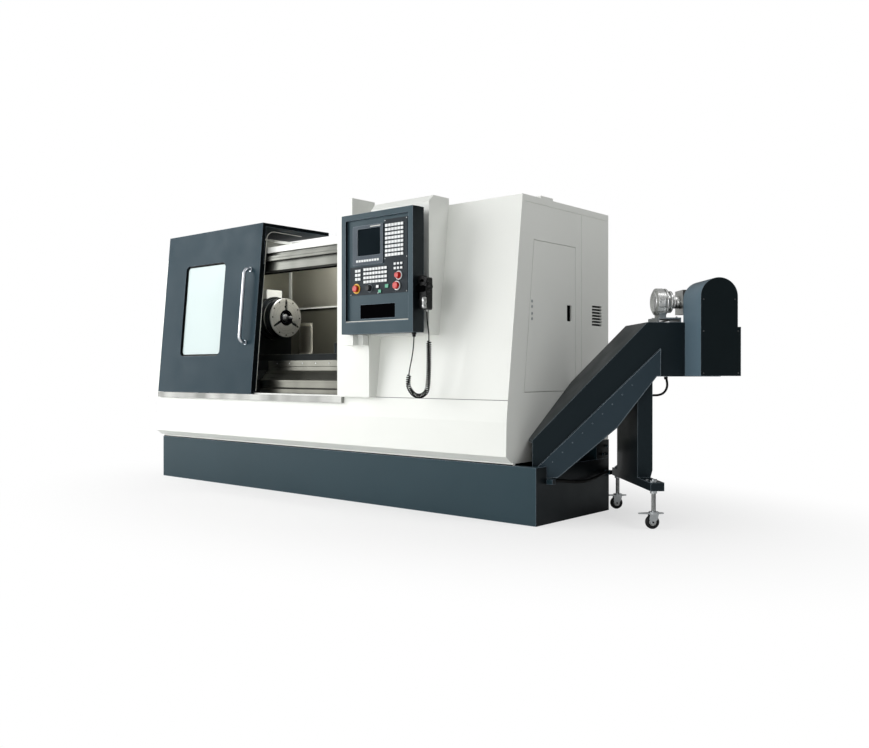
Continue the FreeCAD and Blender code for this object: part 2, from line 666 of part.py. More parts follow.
def upper_rail():
    low, high = "1640", "1674"
    piece = slabs("upper_rail", "YZ", [([loop([
        (lean(low, "-18"), low), (lean(low), low), (lean(high), high), (lean(high, "-18"), high),
    ])], MACHINE[0] + "+28", "opening_right-20")])
    piece.cut("XZ", [rect(MACHINE[0] + "+28", "1655", "opening_right-20", "1659")],
              lean("1640", "-19"), lean("1640", "-10"))


def closing_post():
    left = "opening_right-20"
    low = "skirt_top+43"
    piece = Piece("closing_post")
    piece.add("YZ", [loop([
        ("post_front", low), (lean(low), low), (lean("roof_height"), "roof_height"),
        (lean("roof_height"), "post_high"), ("post_front", "post_high"),
    ])], left, left + "+post_top_width")
    piece.add("YZ", [loop([
        ("post_front", low), (lean(low), low), (lean("post_step"), "post_step"), ("post_front", "post_step"),
    ])], left + "+post_top_width", left + "+post_width")
    piece.cut("XY", [rect(left + "+6", "post_front+6", left + "+post_top_width-6", "front_foot-4")],
              low + "+6", "post_high-6")


def panel_mount():
    piece = Piece("panel_mount")
    piece.add("YZ", [loop([
        ("mount_front", "mount_low"), (lean("mount_low"), "mount_low"), (lean("roof_height"), "roof_height"),
        (lean("roof_height"), "mount_high"), ("mount_front+mount_chamfer", "mount_high"),
        ("mount_front", "mount_high-mount_chamfer"),
    ])], "mount_left", "mount_right")
    piece.cut("XZ", [rect("mount_left+6", "mount_low+6", "mount_right-6", "mount_high-mount_chamfer-6")],
              "mount_front+6", lean("mount_low", "-4"))


# ---- sliding door ----

def door_sheet():
    """The door's side profile: the front sheet and the flap over the roof."""
    flap = "door_high-door_roof_thickness"
    return [
        (door_face("door_low"), "door_low"), (door_face("door_low", "door_thickness"), "door_low"),
        (door_face(flap, "door_thickness"), flap), ("door_roof_back", flap), ("door_roof_back", "door_high"),
        (door_face("door_high"), "door_high"),
    ]


def window_outline(grow):
    left = "door_left+window_left"
    return rounded("%s-(%s)" % (left, grow), "window_low-(%s)" % grow,
                   "%s+window_width+(%s)" % (left, grow), "window_high+(%s)" % grow,
                   "window_corner+(%s)" % grow)


def door_panel():
    piece = Piece("door_panel")
    piece.add("YZ", [loop(door_sheet())], "door_left", "door_left+door_width")
    piece.cut("XZ", [window_outline("0")], "door_front_low-5", "door_front_high+door_thickness+20")
    low, high = "skirt_top+60", "opening_top-80"
    behind = "door_thickness+door_return"
    piece.add("YZ", [door_band([(low, "door_thickness"), (low, behind),
                                (high, behind), (high, "door_thickness")])],
              "door_left+door_width-34", "door_left+door_width")


def door_band(points):
    """Heights and inward distances on the door face, as an outline."""
    return loop([(door_face(height, inward), height) for height, inward in points])


def door_plate(node, height_grow, near, far, outer, holes):
    """A plate that follows the door's lean, between two depths behind its face, cut to an outline."""
    low, high = "window_low-%s" % height_grow, "window_high+%s" % height_grow
    left = "door_left+window_left"
    piece = Piece(node)
    piece.add("YZ", [door_band([(low, near), (low, far), (high, far), (high, near)])],
              "%s-%s" % (left, height_grow), "%s+window_width+%s" % (left, height_grow))
    cover = rounded(left + "-60", low + "-30", left + "+window_width+60", high + "+30", "4")
    piece.cut("XZ", [cover, window_outline(outer)], "door_front_low-20", "door_front_high+80")
    for hole in holes:
        piece.cut("XZ", [window_outline(hole)], "door_front_low-20", "door_front_high+80")


def door_seal():
    door_plate("door_seal", "20", "glass_inset-6", "glass_inset+glass_thickness+6", "0", ["-seal_width"])


def door_glass():
    door_plate("door_glass", "20", "glass_inset", "glass_inset+glass_thickness", "-seal_width", [])


def door_handle():
    """A bow of round tube whose feet stand square on the leaning door."""
    slope = "(door_front_high-door_front_low)/(door_high-door_low)"
    middle = "door_left+door_width-handle_inset-19"
    def spot(height, reach):
        return (middle, "%s-(%s)" % (door_face(height), reach), "(%s)+%s*(%s)" % (height, slope, reach))
    bends = []
    edges = route(placed([
        spot("handle_low+handle_radius", "0"), spot("handle_low+handle_radius", "handle_reach-handle_radius"),
        spot("handle_high-handle_radius", "handle_reach-handle_radius"), spot("handle_high-handle_radius", "0"),
    ]), bends, 0.8)
    sweep("door_handle", edges, value("handle_radius"))


def door_shoes():
    piece = Piece("door_shoes")
    for left in ("door_left+60", "door_left+door_width/2-60", "door_left+door_width-180"):
        piece.add("YZ", [rect("sill_front+1", "skirt_top+sill_height+way_gap", "sill_front+14", "door_low")],
                  left, left + "+120")


# ---- control panel ----

PANEL_RIGHT = "panel_left+panel_width"
PANEL_TOP = "panel_low+panel_height"
FACE = "panel_front+panel_recess"
PIVOT = ("panel_left+pivot_offset", "panel_front+75")
CORD_EXIT = (PANEL_RIGHT + "-26", "panel_front+40")


def panel_bracket():
    piece = Piece("panel_bracket")
    top = "panel_low-6"
    piece.add("XY", [rounded("483", "post_front-98", "641", "post_front", "14")],
              top + "-bracket_height", top)
    piece.cut("XY", [rect("600", "post_front-99", "642", "post_front-52")],
              top + "-bracket_height-1", top + "+1")
    piece.turn("Z", (PIVOT[0], PIVOT[1], "0"), [
        (top, "0"), ("panel_low+120", "0"), ("panel_low+120", "pivot_radius"),
        ("panel_low-0.3", "pivot_radius"), ("panel_low-0.3", "24"), (top, "24"),
    ])


def panel_case():
    piece = Piece("panel_case")
    piece.add("XY", [rect("panel_left", "panel_front", PANEL_RIGHT, "panel_front+panel_depth")],
              "panel_low", PANEL_TOP)
    frame = "panel_frame"
    piece.cut("XZ", [rect("panel_left+%s" % frame, "panel_low+70", PANEL_RIGHT + "-%s" % frame,
                          PANEL_TOP + "-%s" % frame)], "panel_front-1", FACE)
    piece.cut("XZ", [loop([("panel_left-1", PANEL_TOP + "-1"), ("panel_left-1", PANEL_TOP + "+1"),
                           (PANEL_RIGHT + "+1", PANEL_TOP + "+1"), (PANEL_RIGHT + "+1", PANEL_TOP + "-1")])],
              "panel_front-1", "panel_front+24")
    piece.cut("XZ", [rect("panel_left+146", "panel_low+92", "panel_left+436", "panel_low+176")],
              FACE + "-1", FACE + "+4")
    piece.cut("XY", [rect("panel_left+8", FACE + "+6", PANEL_RIGHT + "-8", "panel_front+panel_depth-4")],
              "panel_low+130", PANEL_TOP + "-6")
    piece.cut("XY", [ring(PIVOT[0], PIVOT[1], "pivot_radius+pivot_clearance")],
              "panel_low-1", "panel_low+130")
    piece.add("XZ", [rect("panel_left+panel_frame", "panel_low+70",
                          PANEL_RIGHT + "-panel_frame", "panel_low+78")],
              FACE + "-14", FACE)
    piece.turn("Z", (CORD_EXIT[0], CORD_EXIT[1], "0"),
               tube("panel_low-10", "panel_low", "curl_wire+way_gap", "9"))
    for x, z, radius in HOLES:
        piece.cut("XZ", [ring(x, z, radius + "+running_gap")], FACE + "-1", FACE + "+6.5")


HOLES = [
    ("panel_left+117", "panel_low+276", "stop_radius*0.5"),
    ("panel_left+455", "panel_low+276", "button_radius*0.8"),
    ("panel_left+228", "panel_low+274", "6"),
    ("panel_left+469", "panel_low+335", "6"),
]


def panel_screen():
    """The display: a bezel with a sunk screen and a row of keys under it."""
    piece = Piece("panel_screen")
    left, low = "panel_left+90", "panel_low+416"
    piece.add("XZ", [rounded(left, low, left + "+255", low + "+238", "8")], FACE + "-9", FACE)
    piece.cut("XZ", [rounded(left + "+41", low + "+55", left + "+234", low + "+218", "4")],
              FACE + "-10", FACE + "-4")
    key_grid(piece, left + "+32", low + "+18", 9, 1, 22, 16, 11, "9")


def key_grid(piece, left, low, columns, rows, pitch, size, height, base="plate_skin"):
    """Square keys in rows and columns, standing on a base by their height over the panel's face."""
    outlines = []
    for row in range(rows):
        for column in range(columns):
            x, z = "%s+%s" % (left, column * pitch), "%s+%s" % (low, row * pitch)
            outlines.append(rect(x, z, x + "+%s" % size, z + "+%s*0.8" % size))
    piece.add("XZ", outlines, "%s-%s" % (FACE, height), "%s-%s" % (FACE, base))


def panel_keys():
    """One operator plate with the data keys, the machine keys and the lamp keys moulded on."""
    piece = Piece("panel_keys")
    piece.add("XZ", [loop([
        ("panel_left+62", "panel_low+235"), ("panel_left+538", "panel_low+235"),
        ("panel_left+538", "panel_low+672"), ("panel_left+352", "panel_low+672"),
        ("panel_left+352", "panel_low+408"), ("panel_left+62", "panel_low+408"),
    ])], FACE + "-plate_skin", FACE)
    for x, z, radius in HOLES:
        piece.cut("XZ", [ring(x, z, radius + "+1")], FACE + "-plate_skin-1", FACE + "+1")
    key_grid(piece, "panel_left+362", "panel_low+452", 5, 8, 25, 20, 6)
    key_grid(piece, "panel_left+180", "panel_low+305", 7, 4, 25, 19, 6)
    key_grid(piece, "panel_left+108", "panel_low+325", 1, 3, 25, 22, 6)
    key_grid(piece, "panel_left+432", "panel_low+374", 3, 1, 26, 16, 6)
    key_grid(piece, "panel_left+362", "panel_low+268", 1, 1, 26, 26, 7)
    key_grid(piece, "panel_left+306", "panel_low+242", 1, 1, 26, 22, 7)
    key_grid(piece, "panel_left+288", "panel_low+272", 1, 1, 26, 20, 7)


def push_button(node, number, cap):
    """A pin through the plate with a cap that stays clear of the key plate when fully pressed."""
    x, z, radius = HOLES[number]
    under = FACE + "-button_travel-plate_skin-way_gap"
    Piece(node).turn("Y", (x, "0", z), [
        (FACE + "+10", "0"), (FACE + "+10", radius), (under, radius), (under, cap), (under + "-12", cap),
        (under + "-15", cap + "-3"), (under + "-15", "0"),
    ])


def knob(node, number):
    x, z, radius = HOLES[number]
    piece = Piece(node)
    piece.turn("Y", (x, "0", z), [
        (FACE + "+10", "0"), (FACE + "+10", radius), (FACE + "-plate_skin-way_gap", radius),
        (FACE + "-plate_skin-way_gap", "20"), (FACE + "-10", "20"), (FACE + "-26", "15"), (FACE + "-26", "0"),
    ])
    piece.cut("XZ", [rect("(%s)-1.5" % x, "(%s)+4" % z, "(%s)+1.5" % x, "(%s)+16" % z)],
              FACE + "-27", FACE + "-24")


def handset():
    piece = Piece("handset")
    piece.add("XZ", [rounded(PANEL_RIGHT + "+14", "panel_low+128",
                             PANEL_RIGHT + "+69", "panel_low+315", "12")],
              "panel_front+42", "panel_front+92")
    piece.add("XZ", [rect(PANEL_RIGHT, "panel_low+200", PANEL_RIGHT + "+16", "panel_low+260")],
              "panel_front+52", "panel_front+84")
    piece.turn("Y", (PANEL_RIGHT + "+41", "0", "panel_low+190"), [
        ("panel_front+42", "0"), ("panel_front+42", "21"), ("panel_front+36", "20"), ("panel_front+36", "0"),
    ])


# ---- chip conveyor, in a frame turned in plan ----

RUN = ("base_length/2", "-conveyor_start", "0", "skew")
CLIP = "(end_setback-5)/cos(skew)"


def trunk_low(run):
    """Height of the trunk's steep lower side at a place along the run."""
    return "knee_height+(head_low-knee_height)/(head_run-knee_run)*((%s)-knee_run)" % run


def conveyor_housing():
    """The sheet trunk: a foot in the tray, a steep run with a proud band on its near side, and the head."""
    piece = Piece("conveyor_housing", RUN)
    knee, head = ("knee_run", "knee_height"), ("head_run", "head_low")
    outline = [("trunk_start", "243"), ("50", "254"), knee, head, ("head_end-20", "head_low"),
               ("head_end-20", "head_top"), ("560", "head_top"), ("trunk_start", "462")]
    piece.add("XZ", [loop(outline)], "band_proud", "trunk_width")
    piece.add("XZ", [loop([("trunk_start", "243"), ("50", "254"), knee, head, ("632", "head_low"),
                           ("632", "972"), ("trunk_start", "288")])], "0", "band_proud")
    inner = [("trunk_start-1", "255"), ("47", "266"), ("knee_run-8", "knee_height+9"),
             ("head_run-7", "head_low+trunk_wall"), ("head_end-30", "head_low+trunk_wall"),
             ("head_end-30", "head_top-trunk_wall"), ("564", "head_top-trunk_wall"), ("trunk_start-1", "446")]
    piece.cut("XZ", [loop(inner)], "band_proud+trunk_wall", "trunk_width-trunk_wall")
    piece.cut("XY", [rect("720", "60", "head_end-45", "trunk_width-60")], "head_low-1", "head_low+11")
    piece.cut("XY", [loop([("-200", CLIP + "-200"), ("400", CLIP + "+400"), ("-200", CLIP + "+400")])],
              "0", "head_top+10")
    for across in ("band_proud", "trunk_width-trunk_wall"):
        piece.cut("XZ", [ring("shaft_run", "shaft_height", "16+running_gap")],
                  across + "-1", across + "+trunk_wall+1")
    piece.add("XZ", [rect("trunk_start", "base_floor", "trunk_start+46", "250")], "24", "110")


def conveyor_belt():
    piece = Piece("conveyor_belt", RUN)
    def path(radius):
        down, across = "(%s)*sin(belt_rise)" % radius, "(%s)*cos(belt_rise)" % radius
        start, tail, rise = "belt_tail", "belt_tail_height", "tan(belt_rise)"
        return loop([
            ("%s+%s" % (start, down), "%s-%s" % (tail, across)),
            ("%s+%s+(shaft_height-(%s)-%s+%s)/%s" % (start, down, radius, tail, across, rise),
             "shaft_height-(%s)" % radius),
            ("shaft_run", "shaft_height-(%s)" % radius), ("shaft_run", "shaft_height+(%s)" % radius),
            ("%s-%s+(shaft_height+(%s)-%s-%s)/%s" % (start, down, radius, tail, across, rise),
             "shaft_height+(%s)" % radius),
            ("%s-%s" % (start, down), "%s+%s" % (tail, across)),
        ], {2: ("shaft_run", "shaft_height", radius), 5: (start, tail, radius)})
    piece.add("XZ", [path("belt_radius+8")], "70", "trunk_width-60")
    piece.cut("XZ", [path("belt_radius")], "69", "trunk_width-59")


def conveyor_cover():
    piece = Piece("conveyor_cover", RUN)
    def outline(skin, low):
        left, right = "cover_left+6+(%s)" % skin, "cover_left+210-(%s)" % skin
        step = "cover_left+227-(%s)" % skin
        points = [(left, low), (step, low), (step, "cover_step_high-(%s)" % skin),
                  (right, "cover_step_high-(%s)" % skin), (right, "drive_height+8"), (left, "drive_height+8")]
        return loop(points, {4: ("cover_left+108", "drive_height+8", "102-(%s)" % skin)})
    def crown(skin):
        left, right = "cover_left+6+(%s)" % skin, "cover_left+210-(%s)" % skin
        return loop([(left, "head_top"), (right, "head_top"), (right, "drive_height+8"),
                     (left, "drive_height+8")],
                    {2: ("cover_left+108", "drive_height+8", "102-(%s)" % skin)})
    piece.add("XZ", [outline("0", "cover_low")], "cover_front", "band_proud")
    piece.add("XZ", [crown("0")], "band_proud", "42")
    piece.cut("XZ", [outline("cover_skin", "cover_low+cover_skin")], "cover_front+cover_skin", "band_proud+1")
    piece.cut("XZ", [crown("cover_skin")], "band_proud-1", "43")


def motor_plate():
    """A bent seat across the head, slotted so that the motor can be shifted to tighten its chain."""
    piece = Piece("motor_plate", RUN)
    top = "head_top+plate_height"
    piece.add("XZ", [rect("plate_run", "head_top", "cover_left", top)], "58", "238")
    piece.cut("XZ", [rect("plate_run+8", "head_top-1", "cover_left-8", top + "-8")], "57", "239")
    for across in ("66", "204"):
        for run in ("plate_run+14", "cover_left-26"):
            piece.cut("XY", [rect(run, across, run + "+12", across + "+26")], top + "-9", top + "+1")


def gear_motor():
    """A motor along the run, its gearbox behind the chain cover, and the output stub into the cover."""
    piece = Piece("gear_motor", RUN)
    across, high, radius = "motor_across+45", "drive_height+8", "motor_radius"
    left = "motor_run"
    piece.turn("X", ("0", across, high), [
        (left, "0"), (left, radius + "-14"), (left + "+8", radius), (left + "+52", radius),
        (left + "+52", radius + "-7"), (left + "+60", radius + "-7"), (left + "+60", radius),
        (left + "+70", radius), (left + "+70", radius + "-24"), (left + "+88", radius + "-24"),
        (left + "+88", radius + "-14"), (left + "+100", radius + "-14"), (left + "+100", "36"),
        ("812", "36"), ("812", "0"),
    ])
    piece.add("XZ", [rect(left + "+20", "head_top+plate_height", left + "+62", high)],
              across + "-40", across + "+40")
    piece.add("YZ", [rect("%s-70" % across, "%s-72" % high, "%s+62" % across, "%s+66" % high)], "800", "932")
    piece.turn("Y", ("shaft_run", "0", high), [
        (across + "-60", "0"), (across + "-60", "14"), ("-90", "14"), ("-90", "42"), ("-110", "42"),
        ("-110", "0"),
    ])


def conveyor_shaft():
    """The head shaft: a chain wheel in the cover and the two belt wheels in the trunk."""
    piece = Piece("conveyor_shaft", RUN)
    wheel = "belt_radius-running_gap*6"
    piece.turn("Y", ("shaft_run", "0", "shaft_height"), [
        ("-118", "0"), ("-118", "16"), ("-111", "16"), ("-111", "64"), ("-89", "64"), ("-89", "16"),
        ("80", "16"), ("80", wheel), ("104", wheel), ("104", "16"), ("trunk_width-94", "16"),
        ("trunk_width-94", wheel), ("trunk_width-70", wheel), ("trunk_width-70", "16"),
        ("trunk_width+14", "16"), ("trunk_width+14", "0"),
    ])


def conveyor_leg():
    """A bent channel from the trunk's underside to a crossbar that carries the two caster stems."""
    piece = Piece("conveyor_leg", RUN)
    top = "crossbar_low+crossbar_height"
    left, right, skin = "leg_run", "leg_run+leg_depth", "leg_skin"
    near, far = "leg_side", "trunk_width-8"
    piece.add("XY", [rect(left, "crossbar_start", left + "+75", "crossbar_start+crossbar_length")],
              "crossbar_low", top)
    web, flange = "%s+%s" % (left, skin), "%s+%s" % (near, skin)
    piece.add("XZ", [loop([(left, top), (web, top), (web, trunk_low(web)), (left, trunk_low(left))])],
              near, far)
    for low in (near, "%s-%s" % (far, skin)):
        piece.add("XZ", [loop([(web, top), (left + "+75", top), (right, top + "+40"), (right, trunk_low(right)),
                               (web, trunk_low(web))])], low, "%s+%s" % (low, skin))
    for across in ("stem_near", "stem_far"):
        piece.cut("XY", [ring("stem_run", across, "stem_radius+running_gap")], "crossbar_low-1", top + "+1")


def caster_fork(number):
    """A swivel fork under a long stem, with the two wing levers that lower its foot."""
    across = ("stem_near", "stem_far")[number - 1]
    piece = Piece("caster_fork_%d" % number, RUN)
    top = "crossbar_low+crossbar_height+16"
    piece.turn("Z", ("stem_run", across, "0"), [
        ("78", "0"), (top, "0"), (top, "stem_radius"), ("crossbar_low", "stem_radius"),
        ("crossbar_low", "stem_radius+7"), ("crossbar_low-14", "stem_radius+7"),
        ("crossbar_low-14", "stem_radius"), ("92", "stem_radius"), ("92", "26"), ("78", "26"),
    ])
    cheeks = []
    for side in ("-1", "1"):
        low = "%s+(%s)*16-2" % (across, side)
        cheeks.append((low, "(%s)+4" % low))
    for low, high in cheeks:
        piece.add("XZ", [loop([("stem_run-24", "86"), ("stem_run+24", "86"), ("stem_run+18", "54"),
                               ("stem_run-4", "28"), ("stem_run-20", "28"), ("stem_run-28", "54")])], low, high)
        piece.cut("XZ", [ring("stem_run-caster_trail", "wheel_radius+6", "5+running_gap")],
                  "%s-1" % low, "(%s)+1" % high)
    piece.add("XY", [loop([("stem_run-82", across + "-6"), ("stem_run-30", across + "-18"),
                           ("stem_run+26", across + "-18"), ("stem_run+54", across + "-7"),
                           ("stem_run+54", across + "+7"), ("stem_run+26", across + "+18"),
                           ("stem_run-30", across + "+18"), ("stem_run-82", across + "+6")])], "80", "86")


def caster_wheel(number):
    across = ("stem_near", "stem_far")[number - 1]
    centre = ("stem_run-caster_trail", across, "wheel_radius+6")
    Piece("caster_wheel_%d" % number, RUN).turn("Y", centre, [
        ("-22", "0"), ("-22", "5"), ("-wheel_width/2", "5"), ("-wheel_width/2", "wheel_radius"),
        ("-wheel_width/2+5", "wheel_radius+6"), ("wheel_width/2-5", "wheel_radius+6"),
        ("wheel_width/2", "wheel_radius"), ("wheel_width/2", "5"), ("22", "5"), ("22", "0"),
    ])


# ---- cords: straight runs joined by tangent arcs ----

def placed(points):
    return [FreeCAD.Vector(*[value(number) for number in point]) for point in points]


def bend(start, corner, stop):
    """The arc from start to stop that leaves and arrives along the lines to the corner."""
    back, ahead = start - corner, stop - corner
    half = (math.pi - back.getAngle(ahead)) / 2
    inward = (back + ahead).normalize()
    middle = corner + inward * (back.Length * math.tan(half) * (1 / math.cos(half) - 1) / math.tan(half) ** 2)
    return Part.Arc(start, middle, stop).toShape()


def route(points, bends, share=0.45):
    """The edges of straight runs with a tangent arc at every corner; bends collects the radii."""
    edges = []
    here = points[0]
    for before, corner, after in zip(points, points[1:], points[2:]):
        back, ahead = before - corner, after - corner
        half = (math.pi - back.getAngle(ahead)) / 2
        reach = share * min(back.Length, ahead.Length)
        bends.append(reach / math.tan(half))
        start = corner + FreeCAD.Vector(back).normalize() * reach
        stop = corner + FreeCAD.Vector(ahead).normalize() * reach
        edges.append(Part.LineSegment(here, start).toShape())
        edges.append(bend(start, corner, stop))
        here = stop
    edges.append(Part.LineSegment(here, points[-1]).toShape())
    return edges


def sweep(node, edges, radius, corners=0):
    """A tube along the edges, round or with a number of corners, kept as one piece."""
    wire = Part.Wire(edges)
    start, along = edges[0].valueAt(edges[0].FirstParameter), edges[0].tangentAt(edges[0].FirstParameter)
    if corners:
        across = along.cross(FreeCAD.Vector(0, 1, 0)).normalize()
        other = along.cross(across).normalize()
        turns = [2 * math.pi * number / corners for number in range(corners + 1)]
        section = Part.makePolygon([
            start + across * (radius * math.cos(turn)) + other * (radius * math.sin(turn)) for turn in turns])
        area = corners / 2 * radius ** 2 * math.sin(2 * math.pi / corners)
    else:
        section = Part.Wire(Part.Circle(start, along, radius).toShape())
        area = math.pi * radius ** 2
    solid = wire.makePipeShell([section], True, False) if corners else wire.makePipe(Part.Face(section))
    filled = solid.Volume / (area * wire.Length)
    print(node, "length %.0f, volume over section x length %.4f" % (wire.Length, filled))
    feature = doc.addObject("Part::Feature", node)
    feature.Label = node
    feature.Shape = solid
    PIECES.append(feature)


def cord(node, points, radius, corners=0):
    bends = []
    edges = route(placed(points), bends)
    print(node, "least bend %.1f" % min(bends))
    sweep(node, edges, value(radius), corners)


def curls(centre_line, coil_radius, count):
    """A helix round a line in an XZ plane, as biarcs of half a turn; its ends swell from the line."""
    lengths = [edge.Length for edge in centre_line]
    total = sum(lengths)

    def spot(turn):
        along = total * min(max(turn / count, 0), 1)
        number = 0
        while number < len(lengths) - 1 and along > lengths[number]:
            along -= lengths[number]
            number += 1
        edge = centre_line[number]
        where = edge.getParameterByLength(min(along, lengths[number]))
        side = FreeCAD.Vector(0, 1, 0)
        other = edge.tangentAt(where).cross(side)
        grown = min(1, turn, count - turn)
        swell = coil_radius * grown * grown * (3 - 2 * grown)
        angle = 2 * math.pi * turn
        return edge.valueAt(where) + side * (swell * math.cos(angle)) + other * (swell * math.sin(angle))

    def heading(turn):
        if turn <= 0:
            return centre_line[0].tangentAt(centre_line[0].FirstParameter)
        if turn >= count:
            return centre_line[-1].tangentAt(centre_line[-1].LastParameter)
        return (spot(turn + 0.001) - spot(turn - 0.001)).normalize()

    edges = []
    for half in range(2 * count):
        low, high = half / 2, (half + 1) / 2
        start, stop = spot(low), spot(high)
        leave, arrive = heading(low), heading(high)
        chord, both = stop - start, leave + arrive
        lead = both.dot(both) - 4
        middle = chord.dot(both)
        reach = (middle - math.sqrt(middle ** 2 - lead * chord.dot(chord))) / lead
        first, second = start + leave * reach, stop - arrive * reach
        joint = (first + second) * 0.5
        edges += [bend(start, first, joint), bend(joint, second, stop)]
    return edges


def least_gap(edges, radius, apart):
    """The least distance between stretches of a tube that are further apart along it than a length."""
    spots = []
    travelled = 0
    for edge in edges:
        for step in range(6):
            where = edge.getParameterByLength(edge.Length * step / 6)
            spots.append((travelled + edge.Length * step / 6, edge.valueAt(where)))
        travelled += edge.Length
    least = min((one - other).Length for number, (here, one) in enumerate(spots)
                for there, other in spots[number + 1:number + 160] if there - here > apart)
    return least - 2 * radius


def coolant_hose():
    """The return line between two fittings on the tray's end, sagging between them."""
    wall = "base_length/2+24"
    start, end = "-base_depth/2+notch_start+28.5", "base_depth/2-55.4"
    cord("coolant_hose", [
        (wall, start, "239"), (wall, "-190", "236"), (wall, "-100", "222"), (wall, "0", "208"),
        (wall, "110", "207"), (wall, "220", "221"), (wall, "290", "238"), (wall, end, "240"),
    ], "9", 8)


def conveyor_cable():
    """The motor's lead: out of the head's underside, round in a loop and into the leg's web."""
    def spot(run, across, high):
        return ("base_length/2+(%s)*cos(skew)-(%s)*sin(skew)" % (run, across),
                "-conveyor_start+(%s)*sin(skew)+(%s)*cos(skew)" % (run, across), high)
    side = "leg_side+leg_skin+20"
    cord("conveyor_cable", [
        spot("676", side, "head_low-1.7"), spot("684", side, "784"), spot("683", side, "751"),
        spot("665", side, "722"), spot("633", side, "709"), spot("598", side, "710"), spot("553", side, "699"),
        spot("leg_run+leg_skin+2.7", side, "681"),
    ], "6.5", 8)


def handset_cord():
    """The curled lead: a plain run from the gland, the curls, and a plain run up to the handset."""
    line = CORD_EXIT[1]
    bends = []
    lead = route(placed([CORD_EXIT + ("panel_low",), ("1109", line, "1010"), ("1096", line, "930"),
                         ("1078", line, "868"), ("1070", line, "828")]), bends)
    middle = route(placed([("1070", line, "828"), ("1064", line, "798"), ("1064", line, "753"),
                           ("1112", line, "702"), ("1180", line, "702"), ("1228", line, "753"),
                           ("1224", line, "1022")]), bends)
    last = route(placed([("1224", line, "1022"), ("1223.4", line, "1064"), ("1212", "-585", "1108"),
                         ("1192", "-572", "1152"), ("1186", "-564", "panel_low+127.2")]), bends)
    wire = value("curl_wire")
    coil = curls(middle, value("curl_radius-curl_wire"), SIZES["curl_count"])
    print("handset_cord least bend of its line %.1f, least gap to itself %.2f"
          % (min(bends), least_gap(coil, wire, 4 * wire)))
    sweep("handset_cord", lead + coil + last, wire, 6)


base_tray()
coolant_tank()
bed()
z_screw()
headstock()
spindle_bearings()
spindle()
chuck_body()
for count in (1, 2, 3):
    chuck_jaw(count)
chuck_centre()
saddle()
cross_slide()
turret_disc()
tailstock()
quill()
live_centre()
front_skirt()
front_panel()
roof_panel()
rear_panel()
end_panel()
access_door()
left_cover()
back_wall()
back_lining()
splash_guard()
sill_strip()
upper_rail()
closing_post()
panel_mount()
door_panel()
door_seal()
door_glass()
door_handle()
door_shoes()
panel_bracket()
panel_case()
panel_screen()
panel_keys()
push_button("stop_button", 0, "stop_radius")
push_button("cycle_stop", 1, "button_radius")
knob("feed_knob", 2)
knob("speed_knob", 3)
handset()
conveyor_housing()
conveyor_belt()
conveyor_cover()
motor_plate()
gear_motor()
conveyor_shaft()
conveyor_leg()
for count in (1, 2):
    caster_fork(count)
    caster_wheel(count)
coolant_hose()
conveyor_cable()
handset_cord()

doc.recompute()
for item in doc.Objects:
    if "Invalid" in item.State or "Error" in item.State:
        raise ValueError("a feature failed: %s in %s" % (item.Name, item.getStatusString()))

os.makedirs("parts", exist_ok=True)
for piece in PIECES:
    shape = piece.Shape
    if shape.isNull() or not shape.isValid() or not shape.Solids:
        raise ValueError("no sound solid in " + piece.Label)
    shape.exportStep("parts/%s.step" % piece.Label)
    box = shape.BoundBox
    print("%-18s solids %d volume %.4f m3 x %.0f..%.0f y %.0f..%.0f z %.0f..%.0f" % (
        piece.Label, len(shape.Solids), shape.Volume / 1e9, box.XMin, box.XMax,
        box.YMin, box.YMax, box.ZMin, box.ZMax))
print(len(PIECES), "pieces")
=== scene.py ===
# %% [markdown]
# # A turning lathe with its chip conveyor
# The machine arrives as solids in model.glb: every casting, sheet and shaft is there at its real size.
# What is left for this script is what a camera sees first: paint, ground steel, frosted glass, keys, screws
# and the small folded trims. Everything stays in metres, in the model's own axes.

import math

import bmesh
import bpy
from mathutils import Matrix, Vector


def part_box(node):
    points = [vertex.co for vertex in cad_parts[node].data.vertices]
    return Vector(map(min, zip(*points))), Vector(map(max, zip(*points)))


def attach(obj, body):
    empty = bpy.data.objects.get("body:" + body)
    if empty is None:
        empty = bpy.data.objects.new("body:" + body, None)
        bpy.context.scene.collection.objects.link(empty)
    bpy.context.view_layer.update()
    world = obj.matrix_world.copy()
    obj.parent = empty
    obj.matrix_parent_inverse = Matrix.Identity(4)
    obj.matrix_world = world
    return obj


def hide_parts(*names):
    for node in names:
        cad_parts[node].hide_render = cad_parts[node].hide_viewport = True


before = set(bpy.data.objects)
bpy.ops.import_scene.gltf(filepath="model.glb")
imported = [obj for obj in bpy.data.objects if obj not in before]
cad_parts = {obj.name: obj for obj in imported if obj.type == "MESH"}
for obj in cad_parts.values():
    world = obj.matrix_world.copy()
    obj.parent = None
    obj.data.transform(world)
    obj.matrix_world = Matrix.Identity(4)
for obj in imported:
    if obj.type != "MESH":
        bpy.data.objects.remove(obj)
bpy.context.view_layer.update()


def low(node, axis):
    """The lowest coordinate of a node along 0, 1 or 2."""
    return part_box(node)[0][axis]


def high(node, axis):
    """The highest coordinate of a node along 0, 1 or 2."""
    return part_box(node)[1][axis]


def middle(node, axis):
    """The middle of a node along 0, 1 or 2."""
    return (low(node, axis) + high(node, axis)) / 2


# %% [markdown]
# ## The camera
# A photograph fixes where its camera stood. The long machine runs away to the left, so the camera stands off
# its right front corner, a little under a metre up, and looks almost level. The lens follows from how fast
# the machine shrinks with distance. The camera comes first, so that every later piece can be judged from it.

# %% Place the camera
CAMERA_PLACE = (4.561, -4.3836, 0.8458)
CAMERA_TURN = 0.7151
CAMERA_TILT = -0.0033
LENS_MM = 36.744

